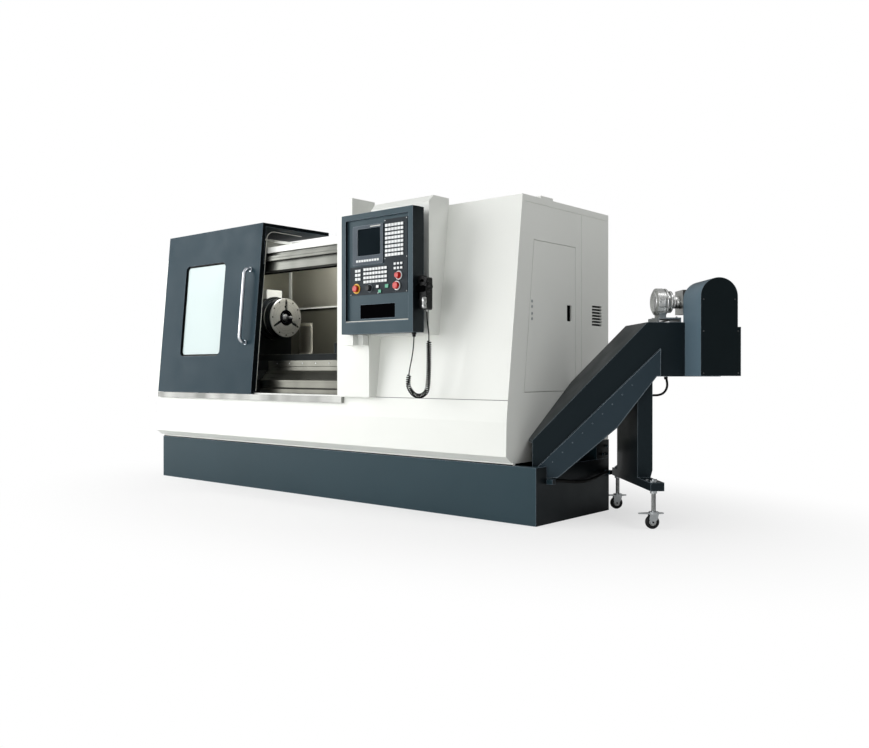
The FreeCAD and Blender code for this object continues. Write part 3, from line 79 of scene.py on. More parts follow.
lens = bpy.data.cameras.new("view")
lens.lens = LENS_MM
lens.sensor_width = 36
camera = bpy.data.objects.new("view", lens)
camera.location = CAMERA_PLACE
camera.rotation_euler = (math.pi / 2 + CAMERA_TILT, 0, CAMERA_TURN)
bpy.context.scene.collection.objects.link(camera)
bpy.context.scene.camera = camera
bpy.context.scene.view_settings.view_transform = "Standard"
print("camera at", tuple(round(number, 2) for number in camera.location))

# %% [markdown]
# ## Cords
# A hose, a motor lead and a curled handset lead hang on this machine. A NURBS spline of order three is the
# natural line for something flexible: it bends smoothly and never kinks at a control point. The control
# points are the same route as the solid tubes follow.

# %% A spline through a route
# A point's own radius counts towards the curve's box, so it is kept small and the bevel is scaled to match.
POINT_SHARE = 0.004


def spline_curve(name, points, thickness=0.0):
    """A NURBS curve along the points, as a tube of that radius."""
    data = bpy.data.curves.new(name, "CURVE")
    data.dimensions = "3D"
    line = data.splines.new("NURBS")
    line.points.add(len(points) - 1)
    for point, place in zip(line.points, points):
        point.co = (*place, 1)
        point.radius = POINT_SHARE
    line.order_u = 3
    line.use_endpoint_u = True
    line.resolution_u = 6
    data.bevel_depth = thickness / POINT_SHARE
    data.bevel_resolution = 3
    data.use_fill_caps = True
    piece = bpy.data.objects.new(name, data)
    bpy.context.scene.collection.objects.link(piece)
    return piece


def traced(name, points):
    """The places along a bare spline through the points, and the length they measure."""
    line = spline_curve(name + "_line", points)
    bpy.context.view_layer.update()
    mesh = bpy.data.meshes.new_from_object(line)
    places = [vertex.co.copy() for vertex in mesh.vertices]
    bpy.data.meshes.remove(mesh)
    bpy.data.objects.remove(line)
    return places, sum((b - a).length for a, b in zip(places, places[1:]))


def plain_cord(name, points, radius):
    """A free cord of that route, whose measured length is printed."""
    _, span = traced(name, points)
    piece = spline_curve(name, points, radius)
    print(name, "is", round(span, 3), "m long")
    return piece


# %% The coolant hose along the end of the tray
TRAY_OVERHANG, FITTING_REACH, HOSE_RADIUS = 0.16, 0.024, 0.009
HOSE_SIDE = high("front_skirt", 0) + TRAY_OVERHANG + FITTING_REACH
hose_route = [(-0.2565, 0.239), (-0.190, 0.236), (-0.100, 0.222), (0.000, 0.208), (0.110, 0.207),
              (0.220, 0.221), (0.290, 0.238), (0.3346, 0.240)]
hose = plain_cord("hose_tube", [(HOSE_SIDE, depth, up) for depth, up in hose_route], HOSE_RADIUS)
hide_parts("coolant_hose")
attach(hose, "machine")

# %% [markdown]
# The conveyor stands at forty-five degrees to the machine. A small function turns a place along the run,
# across it and up into the machine's own axes, so its trims can be thought of in its own straight terms.

# %% The conveyor's own axes and its motor lead
SKEW = math.radians(45)
RUN_START = Vector((1.822, -0.263, 0))
ALONG = Vector((math.cos(SKEW), math.sin(SKEW), 0))
ACROSS = Vector((-math.sin(SKEW), math.cos(SKEW), 0))


def on_run(along, across, up):
    """A place in the conveyor's terms, as a place in the machine's."""
    return tuple(RUN_START + ALONG * along + ACROSS * across + Vector((0, 0, up)))


LEAD_SIDE = 0.047
LEAD_RADIUS = 0.0065
lead_route = [(0.676, 0.8133), (0.684, 0.784), (0.683, 0.751), (0.665, 0.722), (0.633, 0.709),
              (0.598, 0.710), (0.553, 0.699), (0.5147, 0.681)]
motor_lead = plain_cord("motor_lead", [on_run(along, LEAD_SIDE, up) for along, up in lead_route],
                        LEAD_RADIUS)
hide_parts("conveyor_cable")
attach(motor_lead, "machine")

# %% [markdown]
# The handset lead is a curly cord: a plain run from the gland, then tight curls, then a plain run up to the
# handset. The curls are one helix wound round the cord's own centre line, which is read back from a spline.

# %% The curled handset lead
CURLS = 44
CURL_STEPS = 12
CURL_RADIUS = 0.0118
WIRE_RADIUS = 0.0035
LINE_DEPTH = -0.590
lead_down = [(1.110, 1.070), (1.109, 1.010), (1.096, 0.930), (1.078, 0.868)]
hang = [(1.070, 0.828), (1.064, 0.798), (1.064, 0.753), (1.112, 0.702), (1.180, 0.702), (1.228, 0.753),
        (1.224, 1.022)]
lead_up = [(1.2234, LINE_DEPTH, 1.064), (1.212, -0.585, 1.108), (1.192, -0.572, 1.152),
           (1.186, -0.564, 1.1972)]
centres, _ = traced("hang", [(x, LINE_DEPTH, z) for x, z in hang])


def along_line(places, share):
    """The place and the direction at a share of the length of a polyline."""
    steps = [(b - a).length for a, b in zip(places, places[1:])]
    left = share * sum(steps)
    for number, step in enumerate(steps):
        if left <= step or number == len(steps) - 1:
            direction = (places[number + 1] - places[number]).normalized()
            return places[number] + direction * min(left, step), direction
        left -= step


curl_points = []
for step in range(CURLS * CURL_STEPS + 1):
    turn = step / CURL_STEPS
    place, direction = along_line(centres, turn / CURLS)
    grown = min(1, turn, CURLS - turn)
    swell = CURL_RADIUS * grown * grown * (3 - 2 * grown)
    side = Vector((0, 1, 0))
    other = direction.cross(side)
    angle = 2 * math.pi * turn
    curl_points.append(tuple(place + side * swell * math.cos(angle) + other * swell * math.sin(angle)))
handset_points = [(x, LINE_DEPTH, z) for x, z in lead_down] + curl_points + lead_up
handset_lead = plain_cord("handset_lead", handset_points, WIRE_RADIUS)
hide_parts("handset_cord")
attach(handset_lead, "panel")

# %% [markdown]
# ## Finishes
# Almost all of the machine is powder-coated sheet. Powder coat is never one flat colour: it has a fine
# orange-peel bump, a faint cloudiness, and its gloss changes a little from place to place. One helper makes
# that recipe from noise textures, and each coat is then a colour, a grain size and a gloss.


# %% Node helpers
def wire(tree, node, inputs):
    """Set a node's inputs: a value is stored, and another node's output is linked."""
    for label, given in inputs.items():
        if isinstance(given, bpy.types.NodeSocket):
            tree.links.new(given, node.inputs[label])
        else:
            node.inputs[label].default_value = given


def add(tree, kind, inputs, result=0, **settings):
    """Add a node of the tree's own sort, and return one of its outputs."""
    node = tree.nodes.new("%sNode%s" % (tree.type.title(), kind))
    for label, given in settings.items():
        setattr(node, label, given)
    wire(tree, node, inputs)
    return node.outputs[result]


def linear(red, green, blue):
    """A screen colour of 0 to 255 as the linear colour that a shader takes."""
    def one(number):
        share = number / 255
        return share / 12.92 if share <= 0.04045 else ((share + 0.055) / 1.055) ** 2.4
    return (one(red), one(green), one(blue), 1)


def shade(colour, share):
    """A colour made lighter or darker by a share."""
    return tuple(min(1, part * share) for part in colour[:3]) + (1,)


def start_material(name):
    """A new node material, with its tree, its shader and its coordinates."""
    material = bpy.data.materials.new(name)
    material.use_nodes = True
    tree = material.node_tree
    return material, tree, tree.nodes["Principled BSDF"], add(tree, "TexCoord", {}, "Object")


def noise(tree, place, scale, detail=4.0, stretch=(1, 1, 1), rough=0.5):
    """Noise over the object, stretched along its axes."""
    turn = add(tree, "Mapping", {"Scale": stretch, "Vector": place})
    return add(tree, "TexNoise", {"Scale": scale, "Detail": detail, "Roughness": rough, "Vector": turn},
               "Fac")


def ramp(tree, source, stops):
    """A colour ramp over a factor: stops are (position, colour)."""
    band = tree.nodes.new("ShaderNodeValToRGB")
    first, last = band.color_ramp.elements
    first.position, first.color = stops[0]
    last.position, last.color = stops[-1]
    for position, colour in stops[1:-1]:
        band.color_ramp.elements.new(position).color = colour
    tree.links.new(source, band.inputs["Fac"])
    return band.outputs["Color"]


def clouded(tree, source, colour, darkest, lightest, start=0.3, end=0.7):
    """A colour that a factor makes darker and lighter."""
    return ramp(tree, source, [(start, shade(colour, darkest)), (end, shade(colour, lightest))])


def spread(tree, source, low_value, high_value, from_low=0.3, from_high=0.7):
    """A factor mapped onto a range."""
    return add(tree, "MapRange", {"To Min": low_value, "To Max": high_value, "From Min": from_low,
                                  "From Max": from_high, "Value": source}, "Result")


def bump(tree, source, strength, distance):
    """The normal of a surface that a factor raises."""
    return add(tree, "Bump", {"Strength": strength, "Distance": distance, "Height": source})


# %% Powder coats
EDGE_REACH = 0.0042
PLAIN_SHINE = 0.5
COLD_MIRROR = (0.72, 0.9, 1, 1)


def paint_edge_highlight(tree, plain, lighter):
    """Painted highlight along folded edges: where the bevelled normal leaves the flat one, lighten."""
    soft = add(tree, "Bevel", {"Radius": EDGE_REACH}, samples=4)
    flat = add(tree, "NewGeometry", {}, "Normal")
    match = add(tree, "VectorMath", {0: soft, 1: flat}, "Value", operation="DOT_PRODUCT")
    painted_highlight_share = spread(tree, match, 0, 0.8, 0.999, 0.85)
    return add(tree, "Mix", {"Factor": painted_highlight_share, "A": plain, "B": lighter}, "Result", data_type="RGBA")


def paint_by_facing(tree, plain, direction, other, start=0.45):
    """Painted light and shade: the plain colour, and another one painted on the faces that are turned in a
    direction.
    """
    surface = add(tree, "TexCoord", {}, "Normal")
    toward = add(tree, "VectorMath", {0: surface, 1: direction}, "Value", operation="DOT_PRODUCT")
    return add(tree, "Mix", {0: spread(tree, toward, 0, 1, start, 0.95), 6: plain, 7: linear(*other)}, 2,
               data_type="RGBA")


def powder_coat(name, colour, gloss, grain=420, peel=0.0004, cloud=0.05, edge=None, shine=PLAIN_SHINE,
                painted_facing_tone=None):
    """Baked paint, with a painted highlight colour along its edges when edge is given, and painted light and
    shade in another colour on the faces turned one way.
    """
    material, tree, shader, place = start_material(name)
    tint = clouded(tree, noise(tree, place, 1.7, 5), linear(*colour), 1 - cloud, 1 + cloud)
    # Painted light and shade: the faces turned one way get another colour.
    if painted_facing_tone:
        tint = paint_by_facing(tree, tint, *painted_facing_tone)
    # Painted highlight: the colour is lightened towards the edge colour along the edges.
    if edge:
        tint = paint_edge_highlight(tree, tint, linear(*edge))
    if shine < PLAIN_SHINE:
        wire(tree, shader, {"Specular Tint": COLD_MIRROR})
    wire(tree, shader, {
        "Base Color": tint, "Specular IOR Level": shine,
        "Roughness": spread(tree, noise(tree, place, 6, 3), gloss - 0.05, gloss + 0.05),
        "Normal": bump(tree, noise(tree, place, grain, 2), 0.25, peel)})
    return material


# Painted highlights: the lighter colours laid along the coats' edges.
SLATE_EDGE_HIGHLIGHT = (120, 134, 146)
DARK_EDGE_HIGHLIGHT = (150, 164, 174)
# Painted shade on the faces turned to the right end, and painted light on the conveyor cover's faces turned
# back up the run.
PAINTED_END_SHADE = ((1, 0, 0), (8, 12, 14))
PAINTED_LIGHT_UP_THE_RUN = ((-math.cos(SKEW), -math.sin(SKEW), 0), (92, 112, 124), 0.1)
slate_coat = powder_coat("slate_coat", (38, 56, 63), 0.40, edge=SLATE_EDGE_HIGHLIGHT, shine=0.28,
                         painted_facing_tone=PAINTED_END_SHADE)
# Painted shade: the door wears a darker copy of the slate paint, which makes up for the lamp light that its
# leaning face catches.
shaded_door_coat = powder_coat("shaded_door_coat", (32, 51, 60), 0.36, edge=SLATE_EDGE_HIGHLIGHT, shine=0.08,
                        painted_facing_tone=PAINTED_END_SHADE)
# Painted shade: the conveyor's cover, housing, leg and band rivets and the tank's lid wear darker copies of
# the same slate paint, standing in for the shade at the machine's right end; the cover's copy is darker
# still, with painted light on its faces turned back up the run.
lit_and_shaded_cover_coat = powder_coat("lit_and_shaded_cover_coat", (14, 21, 23), 0.38, edge=DARK_EDGE_HIGHLIGHT, shine=0.18,
                         painted_facing_tone=PAINTED_LIGHT_UP_THE_RUN)
shaded_slate = powder_coat("shaded_slate_coat", (22, 30, 34), 0.38, edge=DARK_EDGE_HIGHLIGHT, shine=0.25)
# Painted light: a lighter copy of the conveyor's slate for the band along the trunk's side, where its lip
# catches the light.
lit_band_coat = powder_coat("lit_band_coat", (46, 58, 66), 0.4, edge=(170, 182, 190), shine=0.25)
white_coat = powder_coat("white_coat", (233, 235, 230), 0.42, cloud=0.015)
charcoal_plate = powder_coat("charcoal_plate", (27, 30, 34), 0.5, grain=700, peel=0.0002, shine=0.2)
bezel_coat = powder_coat("bezel_coat", (66, 73, 81), 0.45, grain=700, peel=0.0002,
                         edge=(140, 148, 154), shine=0.25)
graphite_coat = powder_coat("graphite_coat", (20, 21, 20), 0.38, shine=0.2)
casting_coat = powder_coat("casting_coat", (15, 16, 14), 0.42, grain=160, peel=0.001,
                           edge=(96, 97, 90), shine=0.08)
wall_coat = powder_coat("wall_coat", (70, 69, 60), 0.33, cloud=0.14, shine=0.2)
print("powder coats made")

# %% [markdown]
# Bare metal gets its look from the marks of how it was made. Rolled or ground sheet has long fine lines one
# way, so its noise is stretched hard along that way. A turned face has rings, which come from the distance
# to its axis.


# %% Bare metals
def brushed_metal(name, colour, stretch, gloss=0.3, streak=0.12):
    """Metal with fine lines, long in the direction that is stretched least."""
    material, tree, shader, place = start_material(name)
    lines = noise(tree, place, 40, 6, stretch, 0.7)
    wire(tree, shader, {
        "Metallic": 1, "Base Color": clouded(tree, lines, linear(*colour), 1 - streak, 1 + streak),
        "Roughness": spread(tree, lines, gloss - 0.08, gloss + 0.1),
        "Normal": bump(tree, lines, 0.12, 0.0003)})
    return material


def turned_metal(name, colour, centre, gloss):
    """Metal with the fine rings of a lathe, about a line along X through a centre (depth, height)."""
    material, tree, shader, place = start_material(name)
    move = add(tree, "Mapping", {"Location": (0, -centre[0], -centre[1]), "Scale": (0, 1, 1),
                                 "Vector": place})
    reach = add(tree, "VectorMath", {0: move}, "Value", operation="LENGTH")
    rings = noise(tree, reach, 900, 3)
    wire(tree, shader, {
        "Metallic": 1, "Base Color": clouded(tree, rings, linear(*colour), 0.82, 1.1, 0.35, 0.65),
        "Roughness": spread(tree, rings, gloss - 0.06, gloss + 0.1),
        "Normal": bump(tree, rings, 0.15, 0.0003)})
    return material


def banded_sheet(name, colour, pitch, depth, gloss=0.3):
    """Polished sheet with soft light and dark bands across its length, painted into its colour as reflections
    of the hall.
    """
    material, tree, shader, place = start_material(name)
    painted_reflection_bands = noise(tree, place, pitch, 2, (1, 0.02, 0.02), 0.3)
    lines = noise(tree, place, 30, 5, (0.02, 6, 6), 0.7)
    plain = linear(*colour)
    wire(tree, shader, {
        "Metallic": 1,
        "Base Color": ramp(tree, painted_reflection_bands, [(0.36, shade(plain, 1 - depth)), (0.5, plain),
                                         (0.62, shade(plain, 1.25))]),
        "Roughness": spread(tree, lines, gloss - 0.05, gloss + 0.08),
        "Normal": bump(tree, lines, 0.08, 0.0002)})
    return material


EVEN, FINE, UPRIGHT, LENGTHWAYS = (1, 1, 1), (12, 12, 12), (6, 6, 0.1), (0.05, 6, 6)
spindle_line = (middle("chuck_body", 1), middle("chuck_body", 2))
steel_lengthways = brushed_metal("ground_steel", (186, 187, 186), LENGTHWAYS)
motor_metal = brushed_metal("motor_metal", (196, 197, 195), FINE, 0.30, 0.04)
ring_silver = brushed_metal("ring_silver", (236, 237, 236), FINE, 0.26, 0.03)
dark_steel = brushed_metal("dark_steel", (92, 94, 96), EVEN, 0.36, 0.1)
chuck_steel = turned_metal("turned_steel", (206, 206, 202), spindle_line, 0.36)
stainless = banded_sheet("stainless_sheet", (108, 108, 101), 3.2, 0.5)
rail_steel = banded_sheet("rail_steel", (104, 105, 100), 2.6, 0.6, 0.36)
strip_steel = banded_sheet("strip_steel", (140, 141, 138), 4.5, 0.4, 0.36)
lining_steel = banded_sheet("lining_steel", (200, 197, 183), 1.6, 0.22, 0.45)
satin_silver = brushed_metal("satin_silver", (176, 177, 176), UPRIGHT, 0.28, 0.1)
handle_silver = brushed_metal("handle_silver", (214, 218, 224), UPRIGHT, 0.36, 0.05)
zinc = brushed_metal("zinc_plate", (186, 190, 192), EVEN, 0.32, 0.1)
print("metals made, spindle line at", spindle_line)


# %% Plastics, rubber and glass
def moulded(name, colour, gloss, grain=900, peel=0.0002, shine=0.5, **more):
    """Moulded plastic or rubber, with a fine grain."""
    material, tree, shader, place = start_material(name)
    wire(tree, shader, {
        "Base Color": clouded(tree, noise(tree, place, 14, 3), linear(*colour), 0.94, 1.06),
        "Roughness": spread(tree, noise(tree, place, 30, 2), gloss - 0.04, gloss + 0.04),
        "Normal": bump(tree, noise(tree, place, grain, 2), 0.2, peel),
        "Specular IOR Level": shine, **more})
    return material


NO_MIRROR = 1.05
black_plastic = moulded("black_plastic", (14, 15, 16), 0.42, shine=0.2)
pit_black = moulded("pit_black", (5, 5, 6), 0.7, shine=0.05, IOR=NO_MIRROR)
red_plastic = moulded("red_plastic", (196, 34, 26), 0.28)
green_plastic = moulded("green_plastic", (62, 158, 122), 0.35)
yellow_plastic = moulded("yellow_plastic", (226, 172, 50), 0.4)
key_white = moulded("key_white", (230, 233, 233), 0.5)
trim_grey = moulded("trim_grey", (186, 187, 180), 0.35)
knob_grey = moulded("knob_grey", (30, 33, 36), 0.4, shine=0.25)
rubber = moulded("black_rubber", (12, 13, 13), 0.55, 300, 0.0006, 0.12)
tread = moulded("wheel_tread", (20, 21, 22), 0.5, 300, 0.0005, 0.25)


def glazed(name, cloud_size, stops, gloss_size, roughest, **more):
    """A smooth pane, clouded between the colours of its stops."""
    material, tree, shader, place = start_material(name)
    wire(tree, shader, {
        "Base Color": ramp(tree, noise(tree, place, cloud_size, 2), stops),
        "Roughness": spread(tree, noise(tree, place, gloss_size, 2), 0.30, roughest), **more})
    return material


PALE = linear(180, 196, 195)
pane = glazed("frosted_pane", 1.4, [(0.35, shade(PALE, 0.97)), (0.65, shade(PALE, 1.02))], 3, 0.38,
              IOR=1.5)
screen_glass = glazed("dark_screen", 3, [(0.3, linear(20, 27, 31)), (0.7, linear(27, 35, 40))], 20, 0.40,
                      IOR=NO_MIRROR, **{"Specular IOR Level": 0.05})
print("plastics and glass made")

# %% [markdown]
# ## Dressing the solids
# The solids keep their shape and only get their finish. A small table says which finish each node wears.

# %% Give every node its finish
wear = {
    slate_coat: ["base_tray", "coolant_tank", "panel_case"],
    shaded_door_coat: ["door_panel"],
    lit_and_shaded_cover_coat: ["conveyor_cover"],
    shaded_slate: ["conveyor_housing", "conveyor_leg"],
    white_coat: ["front_skirt", "front_panel", "roof_panel", "rear_panel", "end_panel", "access_door",
                 "left_cover", "closing_post", "panel_mount", "panel_bracket"],
    graphite_coat: ["headstock", "chuck_jaw_1", "chuck_jaw_2", "chuck_jaw_3"],
    handle_silver: ["door_handle"],
    casting_coat: ["bed", "saddle", "cross_slide", "tailstock"],
    wall_coat: ["back_wall"],
    steel_lengthways: ["spindle", "spindle_bearings", "z_screw", "quill", "live_centre", "chuck_centre",
                       "conveyor_shaft", "conveyor_belt"],
    chuck_steel: ["chuck_body", "turret_disc"],
    lining_steel: ["back_lining"],
    stainless: ["splash_guard"],
    rail_steel: ["upper_rail"],
    strip_steel: ["sill_strip"],
    zinc: ["motor_plate", "caster_fork_1", "caster_fork_2"],
    motor_metal: ["gear_motor"],
    red_plastic: ["stop_button", "cycle_stop", "speed_knob"],
    knob_grey: ["feed_knob"],
    charcoal_plate: ["panel_keys"],
    bezel_coat: ["panel_screen"],
    black_plastic: ["handset", "door_shoes", "door_seal"],
    pane: ["door_glass"],
    rubber: ["coolant_hose", "conveyor_cable", "handset_cord"],
    tread: ["caster_wheel_1", "caster_wheel_2"],
}


def dress(piece, material):
    """Put one material in every slot of an object."""
    if not piece.material_slots:
        piece.data.materials.append(material)
    for place in piece.material_slots:
        place.material = material


for material, nodes in wear.items():
    for node in nodes:
        dress(bpy.data.objects[node], material)
for lead in (hose, motor_lead, handset_lead):
    dress(lead, rubber)
print(sum(len(nodes) for nodes in wear.values()), "nodes dressed of", len(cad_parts))

# %% [markdown]
# ## Tools for small pieces
# The trims are thin folded or moulded things, so a few tools make nearly all of them: a plate with a soft
# edge, a turned shape from a profile, a ribbon along a path, and a row or grid of one shape. The grid is a
# small Geometry Nodes tree, because a repeated screw or key is one shape and a step, and nothing more.


# %% From a shape to a piece
def piece_from(name, shape, material, body="machine", smooth=False):
    """Turn a bmesh into a piece that rides on a body and wears one material."""
    bmesh.ops.recalc_face_normals(shape, faces=shape.faces)
    mesh = bpy.data.meshes.new(name)
    shape.to_mesh(mesh)
    shape.free()
    if smooth:
        mesh.shade_smooth()
    piece = bpy.data.objects.new(name, mesh)
    bpy.context.scene.collection.objects.link(piece)
    mesh.materials.append(material)
    if body:
        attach(piece, body)
    return piece


def built(*parts):
    """A new shape of one or more parts: each is a tool and what that tool is given."""
    shape = bmesh.new()
    for tool, *given in parts:
        tool(shape, *given)
    return shape


# %% Plates, turned shapes and ribbons
PLANES = {
    "XZ": lambda a, b, depth: (a, depth, b),
    "YZ": lambda a, b, depth: (depth, a, b),
    "XY": lambda a, b, depth: (a, b, depth),
}


def rounded_outline(left, bottom, right, top, corner, steps=4):
    """A rectangle with round corners, as points in its own plane."""
    points = []
    for x, z, start in ((right - corner, bottom + corner, -90), (right - corner, top - corner, 0),
                        (left + corner, top - corner, 90), (left + corner, bottom + corner, 180)):
        for step in range(steps + 1):
            angle = math.radians(start + 90 * step / steps)
            points.append((x + corner * math.cos(angle), z + corner * math.sin(angle)))
    return points


def plate(shape, plane, outline, near, far, soft=0.0004):
    """Add a plate between two depths, with softened edges."""
    to_space = PLANES[plane]
    rings = [[shape.verts.new(to_space(a, b, depth)) for a, b in outline] for depth in (near, far)]
    count = len(outline)
    faces = [shape.faces.new(rings[0]), shape.faces.new(rings[1][::-1])]
    for number in range(count):
        after = (number + 1) % count
        shape.faces.new([rings[0][after], rings[0][number], rings[1][number], rings[1][after]])
    if soft:
        edges = {edge for face in faces for edge in face.edges}
        bmesh.ops.bevel(shape, geom=list(edges), offset=soft, segments=2, affect="EDGES", profile=0.5,
                        clamp_overlap=True)


def sheet(shape, plane, box, corner, near, far, soft=0.0004, steps=4):
    """Add a plate with round corners over a box (left, bottom, right, top)."""
    plate(shape, plane, rounded_outline(*box, corner, steps), near, far, soft)


def turned(shape, axis, centre, profile, steps=24):
    """Add a closed turned shape: the profile is (distance along the axis, radius)."""
    order = {"X": (0, 1, 2), "Y": (1, 0, 2), "Z": (2, 0, 1)}[axis]
    rings = []
    for along, radius in profile:
        ring = []
        for step in range(steps if radius > 1e-6 else 1):
            angle = 2 * math.pi * step / steps
            place = [0.0, 0.0, 0.0]
            place[order[0]] = centre[order[0]] + along
            place[order[1]] = centre[order[1]] + radius * math.cos(angle)
            place[order[2]] = centre[order[2]] + radius * math.sin(angle)
            ring.append(shape.verts.new(place))
        rings.append(ring)
    for here, there in zip(rings, rings[1:]):
        for step in range(steps):
            corners = [here[step % len(here)], here[(step + 1) % len(here)],
                       there[(step + 1) % len(there)], there[step % len(there)]]
            kept = list(dict.fromkeys(corners))
            if len(kept) > 2:
                shape.faces.new(kept)


def solid(shape, axis, centre, profile, steps=24):
    """Add a turned shape whose profile is closed by its axis."""
    turned(shape, axis, centre, [(profile[0][0], 0), *profile, (profile[-1][0], 0)], steps)


def hoop(shape, axis, centre, profile, steps=24):
    """Add a turned shape whose profile comes back to where it began."""
    turned(shape, axis, centre, profile + profile[:1], steps)


def socket_screw(shape, axis, centre, radius, height, outward=-1):
    """Add a cap screw: a domed head with a sunk socket."""
    solid(shape, axis, centre, [
        (0, radius), (outward * height * 0.8, radius), (outward * height, radius * 0.85),
        (outward * height, radius * 0.45), (outward * height * 0.4, radius * 0.42)], 12)


def skin(shape, rings, capped=True):
    """Join rings of corners; the ends get a cap each, or else are joined to each other."""
    for here, there in zip(rings, rings[1:] if capped else rings[1:] + rings[:1]):
        for number in range(len(here)):
            after = (number + 1) % len(here)
            shape.faces.new([here[number], here[after], there[after], there[number]])
    if capped:
        shape.faces.new(rings[0][::-1])
        shape.faces.new(rings[-1])


def ribbon(shape, x0, x1, path, width):
    """Add a flat trim that follows a path of (depth, height), a width thick towards the inside."""
    rings = []
    for number, (y, z) in enumerate(path):
        before = Vector(path[max(number - 1, 0)])
        after = Vector(path[min(number + 1, len(path) - 1)])
        lead = (after - before).normalized()
        far = Vector((y, z)) + Vector((lead.y, -lead.x)) * width
        rings.append([shape.verts.new(place) for place in ((x0, y, z), (x1, y, z), (x1, *far), (x0, *far))])
    skin(shape, rings)


# %% A grid of one shape, with Geometry Nodes
def grid_tree():
    """Repeat the incoming shape in a row, then the row in a column, and give it a material."""
    tree = bpy.data.node_groups.new("row_and_column", "GeometryNodeTree")
    for label, kind in (("Shape", "Geometry"), ("Columns", "Int"), ("Column Step", "Vector"),
                        ("Rows", "Int"), ("Row Step", "Vector"), ("Material", "Material")):
        tree.interface.new_socket(label, in_out="INPUT", socket_type="NodeSocket" + kind)
    tree.interface.new_socket("Grid", in_out="OUTPUT", socket_type="NodeSocketGeometry")
    given = tree.nodes.new("NodeGroupInput").outputs
    shape = given["Shape"]
    for count, step in (("Columns", "Column Step"), ("Rows", "Row Step")):
        line = add(tree, "MeshLine", {"Count": given[count], "Offset": given[step]})
        spots = add(tree, "MeshToPoints", {"Mesh": line})
        copies = add(tree, "InstanceOnPoints", {"Points": spots, "Instance": shape})
        shape = add(tree, "RealizeInstances", {"Geometry": copies})
    painted = add(tree, "SetMaterial", {"Geometry": shape, "Material": given["Material"]})
    wire(tree, tree.nodes.new("NodeGroupOutput"), {"Grid": painted})
    return tree


ROW_AND_COLUMN = grid_tree()
SOCKETS = {item.name: item.identifier for item in ROW_AND_COLUMN.interface.items_tree
           if item.in_out == "INPUT"}


def repeated(name, shape, material, across=(1, 0), up=(1, 0), body="machine"):
    """One piece of copies of a shape: across and up are each a count and a step."""
    seed = piece_from(name + "_seed", shape, material, None)
    grid = seed.modifiers.new("grid", "NODES")
    grid.node_group = ROW_AND_COLUMN
    for label, given in (("Columns", across[0]), ("Column Step", (across[1], 0, 0)), ("Rows", up[0]),
                         ("Row Step", (0, 0, up[1])), ("Material", material)):
        grid[SOCKETS[label]] = given
    bpy.context.view_layer.update()
    mesh = bpy.data.meshes.new_from_object(seed.evaluated_get(bpy.context.evaluated_depsgraph_get()))
    bpy.data.objects.remove(seed)
    mesh.name = name
    piece = bpy.data.objects.new(name, mesh)
    bpy.context.scene.collection.objects.link(piece)
    if not mesh.materials:
        mesh.materials.append(material)
    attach(piece, body)
    return piece


print("grid inputs are", list(SOCKETS))

# %% [markdown]
# ## The control panel
# The operator's eye goes to the panel first. The keys stand on a charcoal plate and each has a pale cap. The
# display is dark glass in a grey bezel. The emergency button sits in a yellow collar.

# %% Key caps
KNOB_LIFT, BEZEL_PROUD = 0.254, 0.011
PANEL_LEFT = low("panel_case", 0)
PANEL_BASE = low("feed_knob", 2) - KNOB_LIFT
PLATE_FRONT = low("panel_screen", 1) + BEZEL_PROUD
CAP_OVERHANG, CAP_RELIEF = 0.0003, 0.0012


def key_caps(name, left, bottom, columns, rows, pitch, size, stand, material=key_white):
    """Thin moulded caps over a block of keys; sizes are in millimetres from the panel's corner."""
    x, z = PANEL_LEFT + left / 1000, PANEL_BASE + bottom / 1000
    front = PLATE_FRONT - stand / 1000
    box = (x - CAP_OVERHANG, z - CAP_OVERHANG, x + size / 1000 + CAP_OVERHANG, z + size / 1250 + CAP_OVERHANG)
    cap = built((sheet, "XZ", box, 0.002, front - CAP_RELIEF, front + CAP_RELIEF, 0.0005, 3))
    repeated(name, cap, material, (columns, pitch / 1000), (rows, pitch / 1000), "panel")


key_caps("data_keys", 362, 452, 6, 8, 25, 20, 6)
key_caps("machine_keys", 180, 305, 8, 4, 25, 19, 6)
key_caps("mode_keys", 108, 325, 2, 3, 25, 20, 6)
key_caps("lamp_keys", 432, 372, 3, 2, 26, 16, 6)
key_caps("start_key", 362, 268, 1, 1, 26, 26, 7, green_plastic)
key_caps("ready_key", 306, 242, 1, 1, 26, 22, 7, green_plastic)
key_caps("reset_key", 288, 272, 1, 1, 26, 20, 7)
key_caps("soft_keys", 122, 434, 9, 1, 22, 16, 11)
print("key caps stand on the plate at depth", round(PLATE_FRONT, 4))


# %% Screen, window and collars
def panel_plate(name, box, corner, near, far, material):
    """A flat piece on the operator side: its box is from the panel's corner, its depths from the plate."""
    left, bottom, right, top = box
    box = (PANEL_LEFT + left, PANEL_BASE + bottom, PANEL_LEFT + right, PANEL_BASE + top)
    shape = built((sheet, "XZ", box, corner, PLATE_FRONT + near, PLATE_FRONT + far))
    piece_from(name, shape, material, "panel")


def collar(name, x, z, inner, outer, proud, material):
    """A flat turned ring that stands a little proud of the operator plate."""
    shape = built((hoop, "Y", (PANEL_LEFT + x, PLATE_FRONT - 0.003, PANEL_BASE + z), [
        (0.0005, inner), (-proud, inner), (-proud, outer - 0.001), (-proud + 0.001, outer),
        (0.0005, outer)], 36))
    piece_from(name, shape, material, "panel", True)


